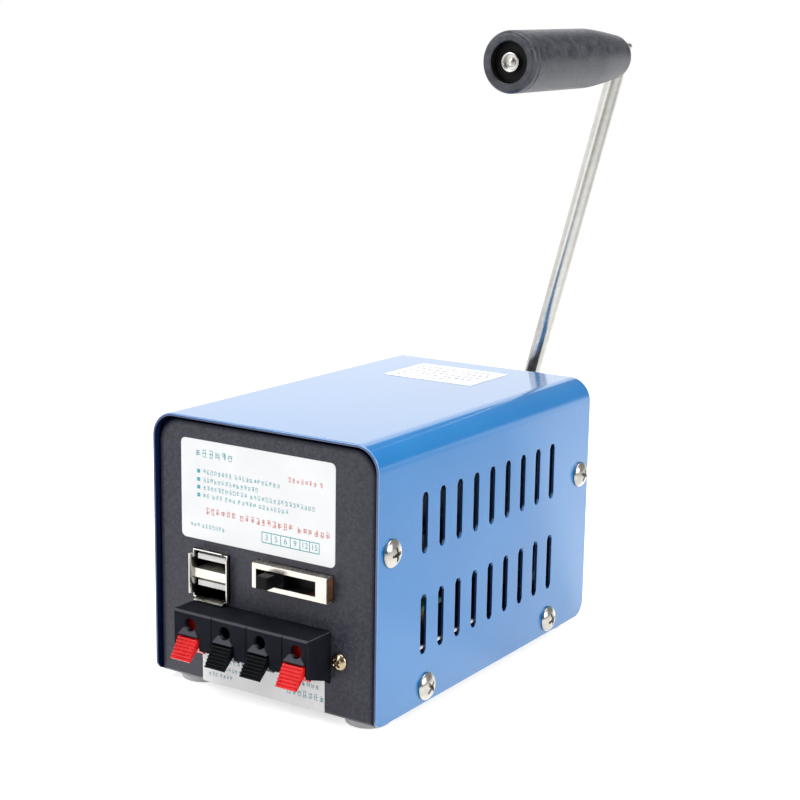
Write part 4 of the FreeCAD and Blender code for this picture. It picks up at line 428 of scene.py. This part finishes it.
# Painted shade inside the ports.
shaded(tinned, "Y", usb_mouth, SHELL_SHADE, (0.012, 0.012, 0.012))
dress(["usb_shell"], tinned, edge=0.06)
cream_tin = finish("Divider plate", (0.62, 0.60, 0.53), (0.72, 0.70, 0.63), (0.25, 0.38), metallic=0.85,
                   fine=2600, broad=260, depth=0.006)
dress(["usb_divider"], cream_tin, edge=0.1)
tongue_white = finish("White tongue plastic", (0.72, 0.72, 0.70), (0.80, 0.80, 0.78), (0.3, 0.4), fine=1800,
                      depth=0.008)
shaded(tongue_white, "Y", usb_mouth, TONGUE_SHADE, (0.010, 0.010, 0.010))
dress(["usb_insulator"], tongue_white, edge=0.25)

# ------------------------------------------------------------------ voltage switch
# Long slide switch: nickel channel with a slot, brown laminate body, black knob and shutter. The
# laminate shows at its right end, with painted shade behind the slot.
LAMINATE_SHADE = (-5.0, -9.0)
warm_nickel = finish("Warm nickel channel", (0.60, 0.55, 0.49), (0.70, 0.655, 0.60), (0.22, 0.34),
                     metallic=0.9, fine=2200, broad=400, depth=0.008)
dress(["switch_frame"], warm_nickel, edge=0.08)
laminate = finish("Brown laminate", (0.060, 0.025, 0.012), (0.16, 0.070, 0.032), (0.4, 0.6), fine=1600,
                  broad=500, stretch=(1, 0.15, 1), depth=0.03)
switch_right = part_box("switch_base")[1][0]
# Painted shade on the laminate behind the slot.
shaded(laminate, "X", switch_right, LAMINATE_SHADE, (0.006, 0.005, 0.005))
dress(["switch_base"], laminate, edge=0.05)
knob_black = finish("Black knob plastic", (0.004, 0.004, 0.005), (0.007, 0.007, 0.008), (0.25, 0.35),
                    fine=1800, depth=0.008, shine=0.06)
dress(["switch_slider"], knob_black, edge=0.15)

# ------------------------------------------------------------------ spring terminals
# Moulded block with a wire hole, a guide ramp and a lever pocket for each of the four terminals,
# held by a screw at each end. Levers one and four are red, the two between are black.
RAMP_SLOPE = 0.64             # upward share of the normals on the guide ramps and eased upper edges, which get painted light
RAMP_REACH = 0.31             # and how far it may lie from that
UPWARD_PAINTED_LIGHT = (0.070, 0.070, 0.084)
moulded = finish("Black moulding with a blue cast", (0.011, 0.012, 0.017), (0.016, 0.017, 0.024),
                 (0.50, 0.60), fine=2600, broad=120, depth=0.02, shine=0.02)
tree = moulded.node_tree
upward = split(tree, add(tree, "NewGeometry").outputs["True Normal"])["Z"]
# Painted light on faces that look up at a slant: the guide ramps and the eased upper edges.
tint(tree, calc(tree, "COMPARE", upward, RAMP_SLOPE, RAMP_REACH), UPWARD_PAINTED_LIGHT)
dress(["terminal_housing"], moulded, edge=0.22)
red_moulding = finish("Red moulding", (0.62, 0.010, 0.012), (0.74, 0.018, 0.020), (0.22, 0.32), fine=1500,
                      broad=200, depth=0.01, shine=0.25)
dress(["terminal_lever_1", "terminal_lever_4"], red_moulding, edge=0.10)
black_moulding = finish("Black moulding", (0.003, 0.004, 0.005), (0.006, 0.007, 0.009), (0.16, 0.26),
                        fine=1500, broad=200, depth=0.01, shine=0.05)
dress(["terminal_lever_2", "terminal_lever_3", "generator_end_cap"], black_moulding, edge=0.10)
gilt_nickel = finish("Yellowed nickel", (0.50, 0.41, 0.27), (0.66, 0.56, 0.39), (0.14, 0.3), metallic=1.0,
                     fine=3000, broad=320, depth=0.006)
EAR_X = -0.5
EAR_SPACING = 57.8
EAR_RISE = 17.7
EAR_HEAD = 5.3
EAR_DOME = 2.0
EAR_ARM = 1.6
ear_heads = [cross_screw(((EAR_X + side * EAR_SPACING / 2) * MM, panel_y, sill_z + EAR_RISE * MM),
                         (0, -1, 0), EAR_HEAD, EAR_DOME, EAR_ARM, turn=0.9 + side * 0.5)
             for side in (-1, 1)]
terminal_heads = mesh_piece("terminal_screw_heads", *joined(ear_heads), gilt_nickel, "casing",
                            "nickel_screws")
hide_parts("terminal_screws")


# ------------------------------------------------------------------ stickers
# Three white paper stickers with rounded corners: one on the top, one on the upper panel and one
# below the terminals. Their print is unreadable small strokes, and number boxes over the switch.
def rounded_sheet(width, height, radius, thickness, steps=8):
    """Rounded rectangle about the origin in x and y, as an outline of quarter circles, with walls."""
    turn = np.linspace(0, np.pi / 2, steps)
    rings = [np.stack([sx * (width / 2 - radius) + radius * np.cos(turn + start),
                       sy * (height / 2 - radius) + radius * np.sin(turn + start)], -1)
             for sx, sy, start in ((1, 1, 0), (-1, 1, np.pi / 2), (-1, -1, np.pi), (1, -1, 1.5 * np.pi))]
    outline = np.concatenate(rings)
    count = len(outline)
    points = np.concatenate([np.c_[outline, np.zeros(count)], np.c_[outline, np.full(count, thickness)]])
    walls = grid_faces(2, count)
    return points, [list(range(count))[::-1], list(range(count, 2 * count))] + walls.tolist()


def bars(rectangles, low, thickness):
    """Thin blocks from (x0, x1, y0, y1) rows, lifted to low."""
    rows = np.asarray(rectangles, float)
    corners = rows[:, [[0, 2], [1, 2], [1, 3], [0, 3]]]
    floor = np.concatenate([corners, np.full((len(rows), 4, 1), low)], -1)
    roof = floor + [0, 0, thickness]
    points = np.concatenate([floor, roof], 1).reshape(-1, 3)
    block = np.array([[3, 2, 1, 0], [4, 5, 6, 7], [0, 1, 5, 4], [1, 2, 6, 5], [2, 3, 7, 6], [3, 0, 4, 7]])
    faces = (np.arange(len(rows))[:, None, None] * 8 + block).reshape(-1, 4)
    return points, faces


# The sizes of a mark are shares of its height.
PEN = 0.046                   # half the width of a stroke
MARK_WIDTH = (0.72, 0.84)
MARK_LEVELS = (-0.44, -0.2, 0.04, 0.28, 0.5)   # where strokes across can lie
MARK_POSTS = (0.15, 0.4, 0.62, 0.85)           # where upright strokes can stand in the width
POST_REACH = (0.2, 0.55)      # of an upright stroke, up and down from the middle
MARK_GAP = 0.30
WORD_GAP = 0.8
WORD_SHARE = 0.9              # of the marks, those that no word gap follows


def marks(rows, chance):
    """Lines of small marks along rows of (x0, x1, middle, height): each mark is three thin strokes
    across and two upright, and every few marks a gap follows."""
    strokes = []
    for x0, x1, middle, height in rows:
        pen = PEN * height
        x = x0
        while x < x1:
            width = height * chance.uniform(*MARK_WIDTH)
            for level in chance.sample(MARK_LEVELS, 3):
                start = x + width * chance.uniform(0, 0.2)
                end = x + width * chance.uniform(0.8, 1.0)
                z = middle + level * height
                strokes.append((start, end, z - pen, z + pen))
            for share in chance.sample(MARK_POSTS, 2):
                low = middle - height * chance.uniform(*POST_REACH)
                high = middle + height * chance.uniform(*POST_REACH)
                strokes.append((x + width * share - pen, x + width * share + pen, low, high))
            x += width + height * (MARK_GAP if chance.random() < WORD_SHARE else WORD_GAP)
    return strokes


def ink(name, dark, light):
    """Printing ink of a colour."""
    return finish(name, dark, light, (0.35, 0.45), fine=2500, broad=900, depth=0.004)


paper = finish("White sticker paper", (0.82, 0.83, 0.84), (0.87, 0.88, 0.89), (0.32, 0.42), fine=1200,
               broad=60, depth=0.006)
teal_ink = ink("Teal ink", (0.04, 0.30, 0.36), (0.08, 0.40, 0.44))
red_ink = ink("Red ink", (0.56, 0.08, 0.075), (0.68, 0.13, 0.12))
grey_ink = ink("Grey ink", (0.24, 0.26, 0.30), (0.34, 0.36, 0.40))
PAPER = 0.12
INK = 0.02


def on_panel(x, z):
    """Placement that stands a flat drawing on the front panel, its middle at x and z."""
    return Matrix.Translation((x, panel_y, z)) @ Matrix.Rotation(math.pi / 2, 4, "X")


def placed(points, place):
    """Points in millimetres, put in their place in metres."""
    return np.asarray(points) * MM @ np.array(place.to_3x3()).T + np.array(place.translation)


def sticker(name, width, height, radius, place, prints, sheet=paper):
    """White sheet with its coloured prints, each a list of strokes."""
    points, faces = rounded_sheet(width, height, radius, PAPER)
    mesh_piece(name, placed(points, place), faces, sheet, "casing", "socket_plastic")
    for colour, material, strokes in prints:
        points, faces = bars(strokes, PAPER, INK)
        mesh_piece(name + "_" + colour, placed(points, place), faces, material, "casing", "socket_plastic")


chance = random.Random(7)
LABEL = (58.4, 31.5)
LABEL_CORNER = 1.7
LABEL_X = -2.8
LABEL_RISE = 61.65            # of the label's middle above the chassis' foot
label_place = on_panel(LABEL_X * MM, sill_z + LABEL_RISE * MM)
LIST_LINES = (5.9, 3.3, 0.9, -1.6)             # heights of the list's four lines on the label
LIST_ENDS = (8.0, 0.0, 21.0, 11.5)
LIST_LEFT = -20.5
LIST_SIZE = 1.35
list_rows = [(LIST_LEFT, end, z, LIST_SIZE) for end, z in zip(LIST_ENDS, LIST_LINES)]
teal_rows = [(-23.2, -9.5, 11.6, 2.3)] + list_rows + [(-25.5, -12.0, -11.3, 1.2)]
red_rows = [(12.0, 24.5, 8.4, 1.4), (-19.5, 25.8, -6.3, 1.9)]
BOX_LEFT = 2.2
BOX_WIDTH = 3.55
BOX_LOW = -12.4
BOX_HIGH = -9.2
LINE = 0.14                   # half the width of a box's line
BULLET = 0.6                  # half the size of a bullet
BULLET_X = -22.3
NUMBERS = ("3", "5", "6", "9", "12", "15")
box_lines = [(BOX_LEFT, BOX_LEFT + len(NUMBERS) * BOX_WIDTH, z - LINE, z + LINE) for z in (BOX_LOW, BOX_HIGH)]
box_lines += [(x - LINE, x + LINE, BOX_LOW, BOX_HIGH)
              for x in BOX_LEFT + BOX_WIDTH * np.arange(len(NUMBERS) + 1)]
bullets = [(BULLET_X - BULLET, BULLET_X + BULLET, z - BULLET, z + BULLET) for z in LIST_LINES]
sticker("panel_label", *LABEL, LABEL_CORNER, label_place,
        [("teal", teal_ink, marks(teal_rows, chance) + bullets + box_lines),
         ("red", red_ink, marks(red_rows, chance))])

NUMBER_SIZE = 2.5
for position, number in enumerate(NUMBERS):
    drawing = bpy.data.curves.new("number", "FONT")
    drawing.body = number
    drawing.size = NUMBER_SIZE
    drawing.align_x = "CENTER"
    drawing.align_y = "CENTER"
    drawing.extrude = INK / 2
    sample = bpy.data.objects.new("number", drawing)
    bpy.context.scene.collection.objects.link(sample)
    bpy.context.view_layer.update()
    outline = bpy.data.meshes.new_from_object(sample.evaluated_get(bpy.context.evaluated_depsgraph_get()))
    bpy.data.objects.remove(sample)
    points = np.array([vertex.co[:] for vertex in outline.vertices])
    faces = [list(face.vertices) for face in outline.polygons]
    points += [BOX_LEFT + BOX_WIDTH * (position + 0.5), (BOX_LOW + BOX_HIGH) / 2, PAPER + INK / 2]
    mesh_piece("switch_number_" + number, placed(points, label_place), faces, teal_ink, "casing",
               "socket_plastic")

LOWER_LABEL = (47.0, 11.6)
LOWER_CORNER = 0.6
LOWER_X = -0.6
LOWER_RISE = 6.0
lower_place = on_panel(LOWER_X * MM, sill_z + LOWER_RISE * MM)
lower_rows = [(-21.0, -7.5, 2.6, 1.5), (-21.0, -9.0, -0.2, 1.2), (10.5, 21.5, 2.0, 1.5),
              (9.5, 22.5, -1.4, 1.9), (-21.0, -12.0, -2.8, 1.2)]
# The lower label's paper is painted brighter than the other labels' paper: painted light where the terminal
# block shades it.
lower_paper_painted_light = finish("Sticker paper with painted light", (0.93, 0.94, 0.95), (0.97, 0.98, 0.98), (0.25, 0.35),
                      fine=1200, broad=60, depth=0.006)
sticker("lower_label", *LOWER_LABEL, LOWER_CORNER, lower_place,
        [("teal", teal_ink, marks(lower_rows, chance))], lower_paper_painted_light)

TOP_LABEL = (35.2, 26.0)
TOP_CORNER = 0.5
TOP_X = -1.8
TOP_INSET = 105.9             # of the label's middle from the cover's front edge
top_place = Matrix.Translation((TOP_X * MM, cover_low.y + TOP_INSET * MM, cover_high.z))
top_rows = [(-15.0, 13.5, z, 2.3) for z in (8.0, 3.8, -0.4, -4.6)] + [(-15.0, 3.0, -8.8, 2.3)]
sticker("top_label", *TOP_LABEL, TOP_CORNER, top_place, [("grey", grey_ink, marks(top_rows, chance))])

# ------------------------------------------------------------------ gear train and generator
# Zinc plated gear plates and pillars, cut steel gears, bronze bushes, and a drawn steel generator
# can with its rotor. They show dimly through the slots.
zinc = finish("Zinc plate", (0.46, 0.47, 0.49), (0.58, 0.59, 0.61), (0.3, 0.45), metallic=1.0, fine=1800,
              broad=110, depth=0.01)
dress(["rear_gear_plate", "front_gear_plate", "gearbox_pillars", "generator_can"], zinc, edge=0.2)
cut_steel = finish("Cut gear steel", (0.34, 0.34, 0.36), (0.44, 0.44, 0.46), (0.28, 0.4), metallic=1.0,
                   fine=2200, broad=160, depth=0.01)
dress(["crank_shaft", "drive_gear_pin", "layshaft", "rotor_shaft", "rotor_core"], cut_steel, edge=0.1)
dress(["drive_gear", "compound_gear", "hub_set_screws"], cut_steel, edge=0.06)
bronze = finish("Sintered bronze", (0.36, 0.21, 0.08), (0.46, 0.28, 0.12), (0.35, 0.5), metallic=1.0,
                fine=2600, broad=200, depth=0.02)
dress(["crank_bushes", "rotor_pinion"], bronze, edge=0.06)
sintered = finish("Magnet", (0.045, 0.045, 0.05), (0.06, 0.06, 0.065), (0.5, 0.65), fine=2500, depth=0.03)
dress(["generator_magnets", "generator_brushes"], sintered, edge=0.2)

# ------------------------------------------------------------------ crank
# Turned hub on the shaft, bright plated round rod, and a turned plastic grip that spins on a
# shouldered pin. The pin's dished head sits in the grip's recess.
plated = finish("Plated steel", (0.57, 0.56, 0.53), (0.65, 0.64, 0.61), (0.20, 0.28), metallic=1.0,
                fine=2600, broad=400, depth=0.010)
dress(["crank_arm", "crank_hub", "grip_spacer"], plated, edge=0.15)
dress(["grip_nut"], nickel, edge=0.1)
SHAFT = Vector((0, 81.2, 45.3))
LEAN = math.radians(15.88)
RAKE = math.radians(1.95)
REACH = 157.4
rod_way = Matrix.Rotation(LEAN, 3, "Y") @ Vector((0, -math.sin(RAKE), math.cos(RAKE)))
grip_way = Matrix.Rotation(LEAN, 3, "Y") @ Vector((0, math.cos(RAKE), math.sin(RAKE)))
crossing = SHAFT + rod_way * REACH
grip_black = finish("Charcoal grip plastic", (0.020, 0.022, 0.031), (0.054, 0.057, 0.072), (0.28, 0.42),
                    fine=1700, broad=300, depth=0.12, speck=0.18, shine=0.45)
# Painted shade for the inside of the grip's recess.
recess_painted_shade = finish("Recess with painted shade", (0.004, 0.004, 0.005), (0.007, 0.007, 0.008), (0.5, 0.6), fine=1900,
                      depth=0.02, shine=0.15)
GRIP_RADIUS = 9.45
GRIP_TIP = 7.4
GRIP_LENGTH = 69.5
GRIP_TAPER = 23.5
TAPER_POWER = 1.35            # above 1, the taper starts gently
GRIP_BACK = 4.9               # the tip's place in front of the rod's axis
RECESS = 6.3
RECESS_DEPTH = 3.0
RECESS_EASE = 0.35            # chamfer of the recess's mouth
RECESS_DRAFT = 0.3            # what the recess narrows to its floor
SHADE_START = 0.3             # depth from which the recess has its own darker material, painted shade
SHADE_SLACK = 0.05            # and how far outside the recess's wall that reaches
BORE = 2.58
MOUTH_ROUND = 1.7
RING_PLACE = 3.0              # middle of the shallow ring groove behind the mouth
TIP_ROUND = (4.0, 2.7)        # along the axis and across
TIP_SKIRT = 0.7               # reach of the tip's rim around the spacer
quarter = np.linspace(0, np.pi / 2, 8)
mouth_s = MOUTH_ROUND * (1 - np.cos(quarter))
mouth_r = GRIP_RADIUS - MOUTH_ROUND * (1 - np.sin(quarter))
ring_s = np.array([-0.4, -0.2, 0, 0.2, 0.4])
ring_cut = np.array([0, 0.18, 0.26, 0.18, 0])
taper = np.linspace(0, 1, 22)
taper_s = GRIP_LENGTH - GRIP_TAPER + taper * (GRIP_TAPER + TIP_SKIRT - TIP_ROUND[0])
taper_r = GRIP_RADIUS - (GRIP_RADIUS - GRIP_TIP) * taper ** TAPER_POWER
tip_s = GRIP_LENGTH + TIP_SKIRT - TIP_ROUND[0] * (1 - np.sin(quarter))
tip_r = GRIP_TIP - TIP_ROUND[1] * (1 - np.cos(quarter))
grip_s = np.concatenate([[RECESS_DEPTH, RECESS_DEPTH, RECESS_EASE, 0], mouth_s, RING_PLACE + ring_s, taper_s,
                         tip_s, [GRIP_LENGTH, GRIP_LENGTH, RECESS_DEPTH]])
grip_r = np.concatenate([[BORE, RECESS - RECESS_DRAFT, RECESS, RECESS + RECESS_EASE], mouth_r,
                         GRIP_RADIUS - ring_cut, taper_r, tip_r, [GRIP_TIP - TIP_ROUND[1], BORE, BORE]])
mouth = crossing - grip_way * (GRIP_BACK + GRIP_LENGTH)
points, faces = turned(grip_s * MM, grip_r * MM, mouth * MM, grip_way, columns=128)
turned_grip = mesh_piece("turned_grip", points, faces, grip_black, "grip", "grip_plastic", smooth=35)
turned_grip.data.materials.append(recess_painted_shade)
middles = np.empty(len(turned_grip.data.polygons) * 3)
turned_grip.data.polygons.foreach_get("center", middles)
from_mouth = middles.reshape(-1, 3) / MM - np.array(mouth)
along = from_mouth @ np.array(grip_way)
across = np.linalg.norm(from_mouth - along[:, None] * np.array(grip_way), axis=1)
in_recess = (along > SHADE_START) & (across < RECESS + SHADE_SLACK)
turned_grip.data.polygons.foreach_set("material_index", in_recess.astype(np.int32))
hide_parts("grip")

PIN_HEAD = 3.05
PIN_HEAD_LENGTH = 1.8
PIN_FRONT = -73.5             # the pin's places are counted along it from the rod's axis
PIN_SHANK = 2.5
PIN_STUD = 1.25
SHOULDER = 2.4
DOME = 1.5                    # radius of the dome in the head's dish
DOME_TOP = 0.15               # its place and height along the pin
DOME_HEIGHT = 0.55
DISH = (1.6, 2.2)             # inner and outer radius of the dish's floor
DISH_DEPTH = 1.1
LIP = 2.65                    # radius of the middle of the head's rounded lip
LIP_ROUND = (0.35, 0.40)      # along the axis and across
dome = np.linspace(0, 1, 8)
half_turn = np.linspace(0, np.pi, 9)
shoulders = [-SHOULDER - PIN_FRONT, SHOULDER - PIN_FRONT]
pin_s = np.concatenate([DOME_TOP + DOME_HEIGHT * dome ** 2, [DISH_DEPTH, DISH_DEPTH],
                        LIP_ROUND[0] * (1 - np.sin(half_turn)), [PIN_HEAD_LENGTH, PIN_HEAD_LENGTH],
                        np.repeat(shoulders, 2)])
pin_r = np.concatenate([DOME * dome, DISH, LIP - LIP_ROUND[1] * np.cos(half_turn),
                        [PIN_HEAD, PIN_SHANK, PIN_SHANK, PIN_STUD, PIN_STUD, 0]])
points, faces = turned(pin_s * MM, pin_r * MM, (crossing + grip_way * PIN_FRONT) * MM, grip_way, columns=72)
turned_pin = mesh_piece("turned_pin", points, faces, plated, "crank", "crank_steel", smooth=30)
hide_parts("grip_pin")

# ------------------------------------------------------------------ studio
# White floor, soft panels of light, and a world that is white to the camera. In reflections the
# floor's level changes with its bearing, and the world is dark high up, towards the camera's own
# side, and lower down on the side of the crank's lean.
FLOOR = 6.0                   # half the floor's width, metres
FLOOR_GLOW = 0.68             # what the camera sees on top of the lit floor
SKY_LEVEL = 0.49              # light of the world on diffuse surfaces
SKY_LOW = 1.18                # level of the world low down in reflections
SKY_DARK = 0.30               # and high up
SKY_RISE = (0.52, 0.70)       # heights between which it changes
SIDE_REACH = (-0.35, -0.10)   # share of +X over which the dark part comes down on the vents' side
SIDE_DROP = 0.55              # how far it comes down there
ROOM_DARK = 0.30              # share of the world's level that is left towards the camera's side
ROOM_WAY = (0.72, -0.69, 0.0)
ROOM_REACH = (0.45, 0.9)
NEAR_FLOOR = 0.5              # extra brightness of the floor close by, in reflections
NEAR_REACH = (0.12, 0.5)      # metres over which it fades
PANELS = ((-179, 0.9), (-140, 0.9), (-122, 1.6), (-108, 1.6), (-95, 0.62), (-58, 0.62), (-40, 0.95),
          (5, 0.95), (26, 0.72), (45, 0.80), (54, 0.84), (60, 1.40), (66, 1.60), (85, 1.3), (110, 1.1),
          (179, 0.9))         # reflected floor: bearing in degrees and level
corners = [(-FLOOR, -FLOOR, 0), (FLOOR, -FLOOR, 0), (FLOOR, FLOOR, 0), (-FLOOR, FLOOR, 0)]
floor_mesh = bpy.data.meshes.new("floor")
floor_mesh.from_pydata(corners, [], [(0, 1, 2, 3)])
floor = bpy.data.objects.new("floor", floor_mesh)
bpy.context.scene.collection.objects.link(floor)
floor_white = bpy.data.materials.new("Floor")
floor_white.use_nodes = True
tree = floor_white.node_tree
lit = tree.nodes["Principled BSDF"]
lit.inputs["Base Color"].default_value = (0.8, 0.8, 0.8, 1)
lit.inputs["Roughness"].default_value = 0.9
lit.inputs["Specular IOR Level"].default_value = 0.0
ray = add(tree, "LightPath").outputs
glow = add(tree, "Emission", {"Strength": calc(tree, "MULTIPLY", ray["Is Camera Ray"], FLOOR_GLOW)})
seen_floor = add(tree, "AddShader", {0: lit.outputs["BSDF"], 1: glow.outputs[0]})
place = add(tree, "TexCoord").outputs["Object"]
way = split(tree, place)
bearing = ramp(tree, calc(tree, "ARCTAN2", way["Y"], way["X"]), -math.pi, math.pi)
panels = add(tree, "ValToRGB", {"Fac": bearing})
panels.color_ramp.interpolation = "EASE"
for degrees, bright in PANELS:
    stop = panels.color_ramp.elements.new((degrees + 180) / 360)
    stop.color = (bright, bright, bright, 1)
panels.color_ramp.elements.remove(panels.color_ramp.elements[0])
panels.color_ramp.elements.remove(panels.color_ramp.elements[-1])
away = vector_calc(tree, "LENGTH", place, result="Value")
near_by = ramp(tree, away, *NEAR_REACH, NEAR_FLOOR, 0.0, "SMOOTHSTEP")
mirror_floor = add(tree, "Emission", {"Strength": calc(tree, "ADD", panels.outputs["Color"], near_by)})
floors = {"Fac": ray["Is Glossy Ray"], 1: seen_floor.outputs[0], 2: mirror_floor.outputs[0]}
choice = add(tree, "MixShader", floors)
tree.links.new(choice.outputs[0], tree.nodes["Material Output"].inputs["Surface"])
floor_mesh.materials.append(floor_white)

world = bpy.data.worlds.new("Studio")
bpy.context.scene.world = world
world.use_nodes = True
tree = world.node_tree
background = tree.nodes["Background"]
background.inputs["Color"].default_value = (1, 1, 1, 1)
ray = add(tree, "LightPath").outputs
place = add(tree, "TexCoord").outputs["Generated"]
way = split(tree, place)
facing = vector_calc(tree, "DOT_PRODUCT", place, ROOM_WAY, result="Value")
height = calc(tree, "ADD", way["Z"], ramp(tree, way["X"], *SIDE_REACH, 0.0, SIDE_DROP, "SMOOTHSTEP"))
sky = ramp(tree, height, *SKY_RISE, SKY_LOW, SKY_DARK, "SMOOTHSTEP")
room = ramp(tree, facing, *ROOM_REACH, 1.0, ROOM_DARK, "SMOOTHSTEP")
mirrored = {"Factor": ray["Is Glossy Ray"], "A": SKY_LEVEL, "B": calc(tree, "MULTIPLY", sky, room)}
seen = calc(tree, "MAXIMUM", ray["Is Camera Ray"], ray["Is Transmission Ray"])
strength = {"Factor": seen, "A": add(tree, "Mix", mirrored).outputs["Result"], "B": 1.0}
tree.links.new(add(tree, "Mix", strength).outputs["Result"], background.inputs["Strength"])

TARGET = Vector((0.0, 0.0, 0.07))
LAMPS = (("key", (-0.5, -0.9, 0.9), 0.7, 7.2), ("side", (1.1, -0.15, 0.6), 0.7, 7.1),
         ("top", (0.0, 0.1, 1.3), 0.9, 9.5))   # name, place and width in metres, power in watts
for name, place, width, power in LAMPS:
    lamp = bpy.data.lights.new(name, "AREA")
    lamp.size = width
    lamp.energy = power
    holder = bpy.data.objects.new(name, lamp)
    holder.location = place
    holder.rotation_euler = (TARGET - Vector(place)).to_track_quat("-Z", "Y").to_euler()
    bpy.context.scene.collection.objects.link(holder)

AZIMUTH = math.radians(33.484)
ELEVATION = math.radians(11.684)
ROLL = math.radians(0.875)
CAMERA_PLACE = Vector((0.2969, -0.4407, 0.1949))
FOCAL_PIXELS = 1660.177
IMAGE = 800
SENSOR = 36                   # millimetres
right = Vector((math.cos(AZIMUTH), math.sin(AZIMUTH), 0))
back = Vector((math.sin(AZIMUTH) * math.cos(ELEVATION), -math.cos(AZIMUTH) * math.cos(ELEVATION),
               math.sin(ELEVATION)))
up = back.cross(right)
rolled_right = right * math.cos(ROLL) + up * math.sin(ROLL)
rolled_up = up * math.cos(ROLL) - right * math.sin(ROLL)
turn = Matrix((rolled_right, rolled_up, back)).transposed().to_4x4()
lens = bpy.data.cameras.new("camera")
lens.sensor_width = SENSOR
lens.lens = FOCAL_PIXELS * SENSOR / IMAGE
lens.shift_x = 0.0031
lens.shift_y = 0.0019
camera = bpy.data.objects.new("camera", lens)
camera.matrix_world = Matrix.Translation(CAMERA_PLACE) @ turn
bpy.context.scene.collection.objects.link(camera)
bpy.context.scene.camera = camera
bpy.context.scene.view_settings.view_transform = "Standard"
